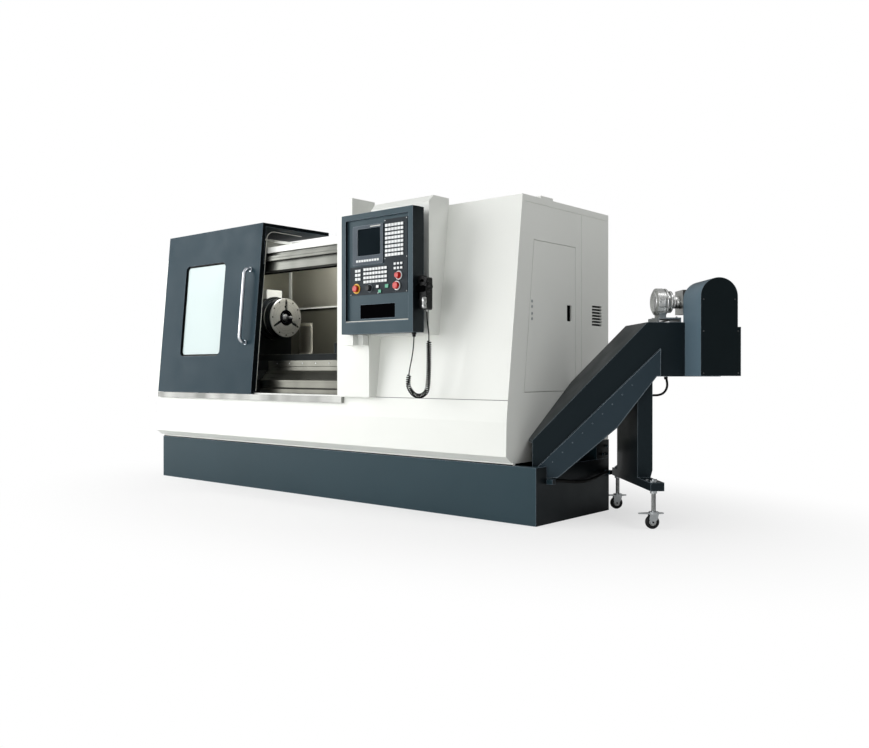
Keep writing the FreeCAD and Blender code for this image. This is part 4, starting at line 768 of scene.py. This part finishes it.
panel_plate("screen_glass", (0.132, 0.472, 0.323, 0.633), 0.004, -0.0046, -0.0036, screen_glass)
panel_plate("bezel_marks", (0.240, 0.6395, 0.326, 0.6460), 0.001, -0.0096, -0.0086, trim_grey)
panel_plate("drive_hatch", (0.1465, 0.0925, 0.4355, 0.1755), 0.003, 0.0005, 0.0038, pit_black)
collar("stop_collar", 0.117, 0.276, 0.0206, 0.031, 0.0024, yellow_plastic)
collar("cycle_collar", 0.455, 0.276, 0.0216, 0.0275, 0.0040, key_white)
collar("feed_scale", 0.228, 0.274, 0.0206, 0.025, 0.0006, bezel_coat)
collar("speed_scale", 0.469, 0.335, 0.0206, 0.0265, 0.0020, key_white)

# %% The cycle button's lens, the ledge, the plate's screws and the gland
LENS_RADIUS = 0.0165
lens_place = (middle("cycle_stop", 0), low("cycle_stop", 1), middle("cycle_stop", 2))
piece_from("cycle_lens", built((turned, "Y", lens_place, [
    (0.002, 0), (0.002, LENS_RADIUS), (-0.0002, LENS_RADIUS), (-0.0002, LENS_RADIUS - 0.0012),
    (0.0004, LENS_RADIUS * 0.5), (0.0005, 0)], 32)), red_plastic, "cycle", True)
panel_plate("ledge_edge", (0.0365, 0.0735, 0.5565, 0.0785), 0.001, -0.0150, -0.0132, trim_grey)
for name, x, z, across, up in (("plate_screws_low", 0.068, 0.241, (3, 0.232), (1, 0)),
                               ("plate_screws_high", 0.358, 0.441, (2, 0.174), (2, 0.224))):
    screw = built((socket_screw, "Y", (PANEL_LEFT + x, PLATE_FRONT - 0.003, PANEL_BASE + z), 0.0028, 0.0016))
    repeated(name, screw, zinc, across, up, "panel")
piece_from("cord_gland", built((hoop, "Z", (1.110, LINE_DEPTH, PANEL_BASE - 0.0260), [
    (0, 0.0046), (0, 0.0080), (0.005, 0.0100), (0.014, 0.0105), (0.0145, 0.0135), (0.0255, 0.0140),
    (0.0255, 0.0046)], 12)), black_plastic, "panel")
print("panel dressed")

# %% [markdown]
# ## The handset
# The pendant hangs in a clip on the panel's side: a black shell with two small switches, a bright barrel,
# three stubs on its right side and a pale sleeve where the cord goes in.

# %% Handset details
SET_LEFT, SET_RIGHT = low("handset", 0) + 0.016, high("handset", 0)
SET_FRONT, SET_LOW, SET_HIGH = low("handset", 1), low("handset", 2), high("handset", 2)
SET_MIDDLE = (SET_LEFT + SET_RIGHT) / 2
CASE_SIDE = high("panel_case", 0)
shell_box = (SET_MIDDLE - 0.022, SET_LOW + 0.012, SET_MIDDLE + 0.024, SET_HIGH - 0.012)
switches = [(solid, "Y", (SET_MIDDLE + shift, SET_FRONT + 0.006, SET_LOW + lift), [
    (0, 0.010), (-0.002, 0.0105), (-0.004, 0.009), (-0.006, 0.008)], 12)
    for shift, lift in ((0.010, 0.150), (-0.010, 0.118))]
piece_from("handset_shell", built(
    (sheet, "XZ", shell_box, 0.009, SET_FRONT + 0.004, SET_FRONT + 0.012, 0.002, 5), *switches),
    black_plastic, "panel")
piece_from("handset_barrel", built((solid, "Z", (SET_MIDDLE + 0.012, SET_FRONT + 0.002, SET_LOW + 0.006), [
    (0, 0.0120), (0.003, 0.0145), (0.022, 0.0145), (0.024, 0.0130), (0.028, 0.0130), (0.030, 0.0145),
    (0.062, 0.0145), (0.066, 0.0110)], 28)),
    satin_silver, "panel", True)

stubs = [(solid, "X", (SET_RIGHT - 0.0005, SET_FRONT + 0.016, SET_LOW + lift), [
    (0, 0.008), (reach * 0.4, 0.008), (reach * 0.4, 0.0125), (reach, 0.0115)], 14)
    for lift, reach in ((0.100, 0.026), (0.130, 0.030), (0.160, 0.018))]
hook_box = (SET_LEFT - 0.010, SET_HIGH - 0.030, SET_RIGHT - 0.018, SET_HIGH + 0.010)
piece_from("handset_knobs", built(
    *stubs, (sheet, "XZ", hook_box, 0.005, SET_FRONT + 0.004, SET_FRONT + 0.030, 0.002)),
    black_plastic, "panel")
piece_from("handset_sleeve", built((hoop, "Z", (1.186, -0.564, SET_LOW - 0.012), [
    (0, 0.0042), (0, 0.0066), (0.010, 0.0100), (0.013, 0.0105), (0.013, 0.0042)], 20)),
    satin_silver, "panel", True)
piece_from("handset_clip", built(
    (sheet, "YZ", (-0.584, 1.262, -0.542, 1.345), 0.005, CASE_SIDE + 0.0002, CASE_SIDE + 0.004),
    (sheet, "XZ", (CASE_SIDE + 0.001, 1.300, CASE_SIDE + 0.060, 1.336), 0.006,
     SET_FRONT - 0.0040, SET_FRONT - 0.0002, 0.001)), pit_black, "panel")
print("handset from height", round(SET_LOW, 3), "to", round(SET_HIGH, 3))

# %% [markdown]
# ## The sliding door
# A pale trim runs up the door's closing edge and turns over under the roof flap. The window has a thin
# rubber frame, and the handle a round foot at each end.

# %% Door trims
DOOR_RIGHT = high("door_panel", 0)
DOOR_SLOPE = 0.0913
TRIM_BEHIND = 0.0425
BEND_RADIUS, BEND_HIGH, BEND_STEPS = 0.07, 1.795, 8
FOOT_REACH = 0.017
HANDLE_FEET = (1.053, 1.587)


def door_depth(height, behind=0.0):
    """Depth of the door's leaning face at a height, moved inward."""
    return low("door_panel", 1) + DOOR_SLOPE * (height - low("door_panel", 2)) + behind


bend_depth = door_depth(BEND_HIGH, TRIM_BEHIND) + BEND_RADIUS
upright = [(door_depth(height, TRIM_BEHIND), height) for height in (0.702, 1.2, 1.5, BEND_HIGH)]
bend = [math.radians(175 - step * 85 / BEND_STEPS) for step in range(1, BEND_STEPS + 1)]
trim_path = upright + [(bend_depth + BEND_RADIUS * math.cos(angle), BEND_HIGH + BEND_RADIUS * math.sin(angle))
                       for angle in bend] + [(0.010, 1.862)]
piece_from("door_trim", built((ribbon, DOOR_RIGHT - 0.006, DOOR_RIGHT - 0.0005, trim_path, 0.005)),
           trim_grey, "door")
piece_from("door_edge_lining", built((ribbon, DOOR_RIGHT - 0.0355, DOOR_RIGHT - 0.0062,
                                      [(y - 0.001, z) for y, z in upright], 0.004)),
           pit_black, "door")

handle_x = middle("door_handle", 0)
foot_left, foot_right = handle_x - FOOT_REACH, handle_x + FOOT_REACH
feet = [(sheet, "XZ", (foot_left, height - FOOT_REACH, foot_right, height + FOOT_REACH), 0.0168,
         door_depth(height) - 0.004, door_depth(height) + 0.006, 0.0008, 6) for height in HANDLE_FEET]
piece_from("handle_feet", built(*feet), handle_silver, "door")

# %% The window's rubber
RUBBER_WIDE, RUBBER_BEHIND, RUBBER_THICK = 0.007, 0.0105, 0.004
GLASS_CORNER, GLASS_OVERLAP = 0.034, 0.001


def window_line(inset):
    """The window's outline, moved inward."""
    return rounded_outline(low("door_glass", 0) + inset, low("door_glass", 2) + inset,
                           high("door_glass", 0) - inset, high("door_glass", 2) - inset,
                           GLASS_CORNER - inset, 8)


outer, inner = window_line(GLASS_OVERLAP), window_line(GLASS_OVERLAP + RUBBER_WIDE)
front, back = RUBBER_BEHIND, RUBBER_BEHIND + RUBBER_THICK
frame_shape = bmesh.new()
skin(frame_shape, [[frame_shape.verts.new((x, door_depth(z, depth), z)) for x, z in line]
                   for depth, line in ((front, outer), (front, inner), (back, inner), (back, outer))], False)
piece_from("window_rubber", frame_shape, pit_black, "door")
print("door dressed, trim of", len(trim_path), "points")

# %% [markdown]
# ## Inside the machine
# Through the open door one sees the chuck's screws, a bright sheet behind it and the cover on the headstock.
# A folded apron hangs behind the opening's header, and a lamp shines down from under the roof.

# %% The chuck's screws, the painted shade in its recess and holes, and its rings
CHUCK_FACE = high("chuck_body", 0)


def on_chuck(depth, radius=0.0, degrees=0):
    """A place at a depth from the chuck's face, on a circle round the spindle line."""
    angle = math.radians(degrees)
    return (CHUCK_FACE + depth, spindle_line[0] + radius * math.cos(angle),
            spindle_line[1] + radius * math.sin(angle))


bolts = [(socket_screw, "X", on_chuck(-0.010, 0.132, 30 + 60 * number), 0.0066, 0.0075, 1)
         for number in range(6)]
piece_from("chuck_screws", built(*bolts), pit_black, "spindle_set")
# Painted shade: a black lining inside the chuck's centre recess.
piece_from("recess_painted_shade", built((hoop, "X", on_chuck(-0.0299), [
    (0, 0.0345), (0, 0.0458), (0.0285, 0.0458), (0.0285, 0.0452), (0.0008, 0.0452), (0.0008, 0.0345)], 48)),
    pit_black, "spindle_set", True)
piece_from("centre_hub", built((hoop, "X", on_chuck(-0.0300), [
    (0.0182, 0.0242), (0.0182, 0.0338), (0.0190, 0.0338), (0.0212, 0.0262), (0.0212, 0.0242)], 48)),
    graphite_coat, "spindle_set", True)
piece_from("chuck_sleeve", built((hoop, "X", (low("chuck_body", 0) + 0.023, *spindle_line), [
    (0, 0.1475), (0, 0.1490), (0.058, 0.1490), (0.059, 0.1484), (0.059, 0.1475)], 72)),
    graphite_coat, "spindle_set", True)
# Painted shade: a black ring round the centre recess and six black dots for holes, laid on the chuck's flat
# face.
painted_hole_dots = [(solid, "X", on_chuck(0, 0.130, 60 * number), [(-0.0002, 0.0060), (0.0004, 0.0060)], 16)
        for number in range(6)]
piece_from("chuck_face_painted_shade", built((hoop, "X", on_chuck(0), [
    (-0.0002, 0.0455), (0.0006, 0.0455), (0.0006, 0.0590), (0.0002, 0.0600), (-0.0002, 0.0600)], 64), *painted_hole_dots),
    pit_black, "spindle_set")
grooves = [(hoop, "X", on_chuck(0), [
    (-0.0002, radius), (0.00015, radius), (0.00015, radius + 0.0008), (-0.0002, radius + 0.0008)], 72)
    for radius in (0.098, 0.120)]
piece_from("chuck_rings", built(*grooves), dark_steel, "spindle_set")

# %% Headstock cover and chute sheet
HEAD_END = high("headstock", 0)
CHUTE_LOW, CHUTE_HIGH, CHUTE_ROWS, CHUTE_STEPS = 0.975, 1.232, 8, 12
CHUTE_LEFT, CHUTE_WIDE, CHUTE_DEPTH, CHUTE_BOW, CHUTE_THICK = -0.985, 0.165, 0.300, 0.030, 0.0015
cap_box = (HEAD_END - 0.1705, spindle_line[0] - 0.0755, HEAD_END - 0.0395, spindle_line[0] + 0.0755)
piece_from("head_cap_cover", built((sheet, "XY", cap_box, 0.0085, 1.398, 1.4678, 0.002)),
           trim_grey)
chute = bmesh.new()
rows = []
for row in range(CHUTE_ROWS + 1):
    height = CHUTE_LOW + (CHUTE_HIGH - CHUTE_LOW) * row / CHUTE_ROWS
    shares = [step / CHUTE_STEPS for step in range(CHUTE_STEPS + 1)]
    rows.append([chute.verts.new((CHUTE_LEFT + CHUTE_WIDE * share,
                                  CHUTE_DEPTH + CHUTE_BOW * (2 * share - 1) ** 2, height))
                 for share in shares])
for here, there in zip(rows, rows[1:]):
    for step in range(CHUTE_STEPS):
        chute.faces.new([here[step], here[step + 1], there[step + 1], there[step]])
bmesh.ops.solidify(chute, geom=chute.faces[:], thickness=CHUTE_THICK)
piece_from("chute_sheet", chute, lining_steel, smooth=True)

# %% The apron behind the header, and the lining's trims
APRON_LEFT, APRON_RIGHT, APRON_THICK = low("sill_strip", 0) + 1.0, high("sill_strip", 0), 0.0015
LINING_FACE = low("back_lining", 1)
piece_from("door_apron", built((ribbon, APRON_LEFT, APRON_RIGHT, [
    (-0.2850, 1.735), (-0.2985, 1.640), (-0.3065, 1.572), (-0.2950, 1.560)], APRON_THICK)),
    rail_steel)
# Painted shade: the apron's return underneath is black.
piece_from("apron_underside_shade", built((ribbon, APRON_LEFT, APRON_RIGHT, [
    (-0.2940, 1.5600), (-0.2100, 1.5640)], APRON_THICK)), pit_black)
piece_from("lining_trims", built(
    (sheet, "XZ", (-1.112, 1.345, -1.080, 1.820), 0.003, LINING_FACE - 0.004, LINING_FACE + 0.0002),
    (sheet, "XZ", (-1.700, 1.3435, 1.600, 1.3545), 0.003, LINING_FACE - 0.005, LINING_FACE + 0.0002)),
    trim_grey)

# %% The seam of the front panel and the painted shadow under the skirt
SEAM_FACE, SEAM_HIGH = -0.4286, low("front_panel", 2)
SHADOW_FACE, SHADOW_LOW = low("base_tray", 1) + 0.010, low("front_skirt", 2)
seam_box = (high("closing_post", 0), SEAM_HIGH - 0.0014, high("front_panel", 0) - 0.001, SEAM_HIGH + 0.0014)
shadow_box = (low("front_skirt", 0) + 0.001, SHADOW_LOW + 0.0004, high("front_skirt", 0) - 0.001, SHADOW_LOW + 0.0060)
piece_from("front_seam", built((sheet, "XZ", seam_box, 0.0005, SEAM_FACE - 0.0007, SEAM_FACE + 0.0006, 0)),
           graphite_coat)
# Painted shadow: a black strip along the foot of the skirt, just above the tray.
piece_from("skirt_painted_shadow", built((sheet, "XZ", shadow_box, 0.0005, SHADOW_FACE - 0.0006, SHADOW_FACE + 0.0006, 0)),
           pit_black)

# %% The lamp, the guard's end and its screws
GUARD_LEFT = low("splash_guard", 0)
piece_from("work_lamp", built(
    (sheet, "XY", (-0.60, 0.235, 0.15, 0.275), 0.01, 1.792, 1.812, 0.004),
    (sheet, "XY", (-0.59, 0.243, 0.14, 0.267), 0.008, 1.788, 1.794, 0.002)),
    key_white)
piece_from("guard_end_cover", built((ribbon, GUARD_LEFT + 0.001, GUARD_LEFT + 0.150, [
    (-0.2600, 0.925), (-0.2600, 0.852), (-0.3360, 0.783), (-0.3360, 0.690)], -0.0015)),
    graphite_coat)
repeated("guard_screws", built((socket_screw, "Y", (-0.54, low("bed", 1) - 0.0059, 0.901), 0.004, 0.003)),
         zinc, (7, 0.14))
print("inside dressed")

# %% [markdown]
# ## The enclosure's ends and back
# The right end has a louvre, a sunk grip and small locks. The back has four service sheets with screws,
# grips and vents, and the left end a recessed door on hinges.

# %% Louvre, grip and locks
END = high("end_panel", 0)
SLAT_THICK = 0.0012
# Painted shade: a black sheet behind the slats.
piece_from("louvre_painted_shade", built((sheet, "YZ", (0.4595, 1.1305, 0.5765, 1.2565), 0.002, END - 0.0245,
                                 END - 0.018)), pit_black)
slat = bmesh.new()
slat_points = [(END - 0.004, 0.4593, 1.1312), (END - 0.004, 0.5767, 1.1312), (END - 0.016, 0.5767, 1.1385),
               (END - 0.016, 0.4593, 1.1385)]
skin(slat, [[slat.verts.new((x - back, y, z - back)) for x, y, z in slat_points] for back in (0, SLAT_THICK)])
repeated("louvre_slats", slat, black_plastic, up=(7, 0.019))
piece_from("grip_liner", built(
    (sheet, "YZ", (0.1718, 1.1468, 0.2212, 1.2422), 0.0055, END - 0.0119, END - 0.0105),
    (sheet, "YZ", (0.1796, 1.1596, 0.2004, 1.2294), 0.0044, END - 0.0118, END - 0.0016, 0.001)),
    pit_black)
locks = [(solid, "X", (END, -0.197, height), [
    (-0.001, 0.0085), (0.0012, 0.0085), (0.002, 0.0075), (0.002, 0.003), (0.0006, 0.0028)], 20)
    for height in (1.145, 1.175, 1.215, 1.245)]
piece_from("door_locks", built(*locks), zinc, smooth=True)

# %% Service sheets on the back
BACK = high("rear_panel", 1)
SHEETS = (4, 0.8)


def for_each_sheet(name, shape, material, across=(1, 0), up=(1, 0)):
    """The same grid of one shape on each of the service sheets, as numbered pieces."""
    for number in range(SHEETS[0]):
        moved = shape.copy()
        bmesh.ops.translate(moved, verts=moved.verts, vec=(SHEETS[1] * number, 0, 0))
        repeated("%s_%d" % (name, number + 1), moved, material, across, up)
    shape.free()


service_sheet = (sheet, "XZ", (-1.494, 0.506, -0.906, 1.644), 0.006, BACK - 0.0042, BACK - 0.0022, 0.0006)
repeated("service_sheets", built(service_sheet), white_coat, SHEETS)
sheet_screw = (socket_screw, "Y", (-1.480, BACK - 0.0023, 0.520), 0.0055, 0.0020, 1)
for_each_sheet("sheet_screws", built(sheet_screw), zinc, (2, 0.560), (6, 0.222))
pull = (sheet, "XZ", (-1.245, 1.060, -1.155, 1.100), 0.008, BACK - 0.0024, BACK - 0.0006, 0.0005)
repeated("sheet_pulls", built(pull), black_plastic, SHEETS)
vent = (sheet, "XZ", (-1.40, 1.36, -1.00, 1.368), 0.0035, BACK - 0.0024, BACK - 0.0008, 0.0004)
for_each_sheet("vent_row", built(vent), pit_black, up=(9, 0.024))

# %% The left cover and its door
# The shell is the cover's own mesh with a shallow recess in its end, and takes the cover's place.
LEFT = low("left_cover", 0)
RECESS_RIM, RECESS_STEP, RECESS_DEPTH = 0.068, 0.0015, 0.0045
cover_shell = bmesh.new()
cover_shell.from_mesh(bpy.data.objects["left_cover"].data)
cover_shell.transform(bpy.data.objects["left_cover"].matrix_world)
end_faces = [face for face in cover_shell.faces
             if face.normal.x < -0.99 and face.calc_center_median().x < LEFT + 0.001]
field = bmesh.ops.dissolve_faces(cover_shell, faces=end_faces)["region"]
for inset in (RECESS_RIM, RECESS_STEP):
    bmesh.ops.inset_region(cover_shell, faces=field, thickness=inset)
for corner_point in {point for face in field for point in face.verts}:
    corner_point.co.x += RECESS_DEPTH
cover_skin = piece_from("left_cover_shell", cover_shell, white_coat)
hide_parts("left_cover")
piece_from("left_sheet", built((sheet, "YZ", (-0.215, 0.72, 0.505, 1.65), 0.01, LEFT + 0.0012,
                                LEFT + 0.0052, 0.0006)), white_coat)
repeated("left_hinges", built((solid, "Z", (LEFT + 0.0068, 0.512, 0.80), [
    (0, 0.006), (0.055, 0.006), (0.056, 0.004)], 14)),
    zinc, up=(3, 0.36))
piece_from("left_grip", built((sheet, "YZ", (-0.190, 1.10, -0.160, 1.22), 0.010, LEFT + 0.0004,
                               LEFT + 0.0022, 0.0004)), pit_black)
print("ends and back dressed")

# %% [markdown]
# ## The conveyor
# Its trims are thought of along the run and across it, and turned into the machine's axes at the end.


# %% Turn a shape into the conveyor's place
def onto_run(*parts):
    """A new shape of parts that are given in the conveyor's own straight terms, turned into its place."""
    shape = built(*parts)
    bmesh.ops.transform(shape, matrix=Matrix.Translation(RUN_START) @ Matrix.Rotation(SKEW, 4, "Z"),
                        verts=shape.verts)
    return shape


# %% Motor rings and neck
MOTOR_ACROSS, MOTOR_HIGH, FIN_STEP = 0.190, 1.246, 0.0058


def on_motor(tool, along, profile, steps=48):
    """A turned part of the motor, at a distance along the run."""
    return tool, "X", (along, MOTOR_ACROSS, MOTOR_HIGH), profile, steps


fins = [on_motor(hoop, 0.661 + FIN_STEP * number, [
    (0, 0.070), (0, 0.0785), (0.0022, 0.0785), (0.0022, 0.070)]) for number in range(7)]
piece_from("motor_rings", onto_run(
    *fins,
    on_motor(solid, 0.6495, [(0, 0.052), (-0.002, 0.054), (-0.002, 0.058), (0.001, 0.0595), (0.004, 0.0595)]),
    on_motor(hoop, 0.7115, [(0, 0.060), (0, 0.0775), (0.007, 0.0775), (0.007, 0.060)]),
    on_motor(hoop, 0.739, [(0, 0.036), (0, 0.0635), (0.0095, 0.0635), (0.0095, 0.058), (0.012, 0.056),
                           (0.012, 0.036)])), ring_silver, smooth=True)
piece_from("motor_neck", onto_run(
    on_motor(hoop, 0.7505, [(0, 0.030), (0, 0.0375), (0.05, 0.0385), (0.05, 0.030)], 36)),
    ring_silver, smooth=True)

# %% Cover screws and seam, the belt's hinges, the trunk's band
COVER_FRONT = -0.225
HINGE_STEP, HINGE_LIFT, HINGE_RADIUS, BELT_WIDE = 0.0254, 0.019, 0.0045, 0.310
RISE = math.radians(43.4)
BAND_SLOPE = (0.972 - 0.288) / (0.632 + 0.090)
cover_spots = ((0.790, 0.835), (0.980, 0.835), (0.790, 1.06), (0.980, 1.06), (0.79, 1.23), (0.962, 1.23))
screws = [(socket_screw, "Y", (run, COVER_FRONT + 0.0002, up), 0.0042, 0.0026) for run, up in cover_spots]
piece_from("cover_screws", onto_run(*screws), dark_steel)
piece_from("cover_seam", onto_run((plate, "XZ", [
    (0.7745, 0.8195), (0.7775, 0.8195), (0.7775, 1.246), (0.7745, 1.246)], -0.05, -0.048, 0)),
    pit_black)
hinges = [(solid, "Y", (0.262 + HINGE_STEP * number * math.cos(RISE) - HINGE_LIFT * math.sin(RISE), 0.072,
                         0.6815 + HINGE_STEP * number * math.sin(RISE) + HINGE_LIFT * math.cos(RISE) + 0.002),
           [(0, HINGE_RADIUS), (BELT_WIDE, HINGE_RADIUS)], 8) for number in range(26)]
piece_from("belt_hinges", onto_run(*hinges), steel_lengthways)
# Painted light: the band is a thin sheet in a lighter coat, flat on the trunk's side, where the trunk's lip
# catches the light.
piece_from("band_face", onto_run((plate, "XZ", [
    (-0.088, 0.246), (0.049, 0.257), (0.381, 0.531), (0.607, 0.817), (0.630, 0.817), (0.630, 0.968),
    (-0.088, 0.291)], -0.0012, 0.0004, 0)), lit_band_coat)
runs = [0.02 + 0.056 * number for number in range(9)]
rivets = [(socket_screw, "Y", (run, -0.0001, 0.38 + BAND_SLOPE * (run + 0.02) - 0.075), 0.0036, 0.0014)
          for run in runs]
piece_from("band_rivets", onto_run(*rivets), shaded_slate)


# %% Bolts of the motor's seat and of the crossbar
def four_bolts(name, run_places, across_places, height, profile):
    """Hexagon heads at four places of the conveyor."""
    heads = [(turned, "Z", (run, across, height), profile, 6)
             for run in run_places for across in across_places]
    piece_from(name, onto_run(*heads), zinc)


four_bolts("seat_bolts", (0.654, 0.748), (0.079, 0.217), 1.1495, [
    (-0.004, 0), (-0.004, 0.0095), (0.0008, 0.0095), (0.0010, 0.0055), (0.006, 0.0055), (0.0062, 0)])
four_bolts("crossbar_bolts", (0.520, 0.566), (-0.110, 0.430), 0.2505, [
    (-0.001, 0), (-0.001, 0.0085), (0.005, 0.0085), (0.006, 0.0070), (0.006, 0)])

# %% Threads and hubs of the two casters
STEM_RUN, WHEEL_RUN, WHEEL_HIGH = 0.530, 0.522, 0.037
for number, fork, wheel, across in ((1, "fork_near", "wheel_near", -0.188),
                                    (2, "fork_far", "wheel_far", 0.512)):
    thread = onto_run((hoop, "Z", (STEM_RUN, across, 0.0945), [
        (0, 0.0105), (0, 0.0109), (0.0011, 0.0122), (0.0013, 0.0122), (0.0024, 0.0109),
        (0.0024, 0.0105)], 20))
    repeated("stem_thread_%d" % number, thread, satin_silver, up=(38, 0.0025), body=fork)
    nut = onto_run((hoop, "Z", (STEM_RUN, across, 0.2502), [
        (0, 0.0112), (0, 0.019), (0.009, 0.019), (0.010, 0.0175), (0.010, 0.0112)], 6))
    piece_from("stem_nut_%d" % number, nut, zinc, fork)
    hub = [(solid, "Y", (WHEEL_RUN, across + side * 0.0119, WHEEL_HIGH), [
        (0, 0.0195), (side * 0.0012, 0.0195), (side * 0.0012, 0.0165), (side * 0.0004, 0.0145),
        (side * 0.0004, 0.0085), (side * 0.0018, 0.0075)], 28) for side in (-1, 1)]
    piece_from("wheel_hub_%d" % number, onto_run(*hub), satin_silver, wheel, True)

# %% The lead's gland, the tank's lid and plugs
TANK_TOP, TANK_END = high("coolant_tank", 2), high("coolant_tank", 0)
piece_from("lead_gland", onto_run((hoop, "Z", (0.676, LEAD_SIDE, 0.7985), [
    (0, 0.0078), (0, 0.0100), (0.0155, 0.0115), (0.0155, 0.0078)], 6)),
    black_plastic)
piece_from("tank_lid", built((sheet, "XY", (1.684, 0.257, 1.810, 0.378), 0.008, TANK_TOP - 0.0012,
                              TANK_TOP - 0.0002)), shaded_slate)
plugs = [(solid, "X", (TANK_END - 0.004, depth, height), [
    (0, 0.0072), (0.0035, 0.0072), (0.0039, 0.0062)], 6)
    for depth, height in ((0.360, 0.345), (0.360, 0.392), (0.318, 0.345))]
piece_from("tank_plugs", built(*plugs), black_plastic)
print("conveyor, casters and tank dressed")

# %% [markdown]
# ## Floor and light
# The machine stands on a plain white floor. Near it the floor takes a soft shadow, and further off it fades
# into the white of the hall. The hall is bright to the left front and dim behind the right end, so the front
# faces have a soft sheen and the ends stay dark, and the coats add painted shade on the faces turned to the
# right end.

# %% Floor and backdrop
FLOOR_REACH, FLOOR_HIGH = 60, -0.001
FADE_NEAR, FADE_FAR, FADE_LEAST = 0.8, 2.3, 0.62


def stage_material(name, colour):
    """White ground that takes a shadow near the machine and is plain white to the camera further off."""
    material, tree, shader, place = start_material(name)
    tree.nodes.remove(shader)
    tint = clouded(tree, noise(tree, place, 0.5, 2), colour, 0.99, 1)
    squeeze = add(tree, "Mapping", {"Location": (-0.35, 0, 0), "Scale": (0.62, 1, 1), "Vector": place})
    reach = add(tree, "VectorMath", {0: squeeze}, "Value", operation="LENGTH")
    fade = add(tree, "MapRange", {"From Min": FADE_NEAR, "From Max": FADE_FAR, "To Min": FADE_LEAST,
                                  "Value": reach}, "Result", interpolation_type="SMOOTHSTEP")
    seen = add(tree, "LightPath", {}, "Is Camera Ray")
    gate = add(tree, "Math", {0: seen, 1: fade}, operation="MULTIPLY")
    blend = add(tree, "MixShader", {0: gate, 1: add(tree, "BsdfDiffuse", {"Color": tint}),
                                    2: add(tree, "Emission", {})})
    wire(tree, tree.nodes["Material Output"], {"Surface": blend})
    return material


floor_mesh = bpy.data.meshes.new("floor")
floor_mesh.from_pydata([(x * FLOOR_REACH, y * FLOOR_REACH, FLOOR_HIGH)
                        for x, y in ((-1, -1), (1, -1), (1, 1), (-1, 1))], [], [(0, 1, 2, 3)])
floor = bpy.data.objects.new("floor", floor_mesh)
bpy.context.scene.collection.objects.link(floor)
floor_mesh.materials.append(stage_material("floor_white", (0.88, 0.88, 0.875, 1)))

# %% The world
# The camera sees plain white. Everything else sees a hall whose light comes from the left front.
TO_THE_LIGHT = (-0.62, -0.66, 0.42)
world = bpy.data.worlds.new("studio")
bpy.context.scene.world = world
world.use_nodes = True
sky = world.node_tree
hall = sky.nodes["Background"]
toward = add(sky, "VectorMath", {0: add(sky, "TexCoord", {}, "Generated"), 1: TO_THE_LIGHT}, "Value",
             operation="DOT_PRODUCT")
wire(sky, hall, {"Color": (1, 1, 1, 1), "Strength": spread(sky, toward, 0.14, 0.75, -0.35, 0.9)})
bright = add(sky, "Background", {"Color": (1, 1, 1, 1), "Strength": 1})
rays = sky.nodes.new("ShaderNodeLightPath").outputs
seen = add(sky, "Math", {0: rays["Is Camera Ray"], 1: rays["Is Transmission Ray"]}, operation="MAXIMUM")
choice = add(sky, "MixShader", {0: seen, 1: hall.outputs[0], 2: bright})
wire(sky, sky.nodes["World Output"], {"Surface": choice})


# %% The lamps
def soft_lamp(name, place, aim, sides, power):
    """A rectangular lamp that points at a place."""
    data = bpy.data.lights.new(name, "AREA")
    data.shape = "RECTANGLE"
    data.size, data.size_y = sides
    data.energy = power
    lamp = bpy.data.objects.new(name, data)
    lamp.location = place
    lamp.rotation_euler = (Vector(aim) - Vector(place)).to_track_quat("-Z", "Y").to_euler()
    bpy.context.scene.collection.objects.link(lamp)
    lamp.visible_camera = False


soft_lamp("key", (-6.0, -5.8, 2.4), (-0.6, 0, 1.1), (8.0, 4.0), 385)
soft_lamp("side", (5.2, 0.6, 5.6), (1.7, 0, 0.8), (2.5, 2.5), 85)
soft_lamp("front", (1.2, -6.5, 1.4), (1.0, 0, 1.0), (3.0, 2.0), 70)
soft_lamp("door", (-2.5, -1.7, 2.35), (-1.75, -0.4, 1.65), (0.7, 0.7), 8)
soft_lamp("inner", (-0.30, -0.02, 1.78), (-0.40, 0.3, 1.2), (0.7, 0.2), 9)
print("lamps placed")
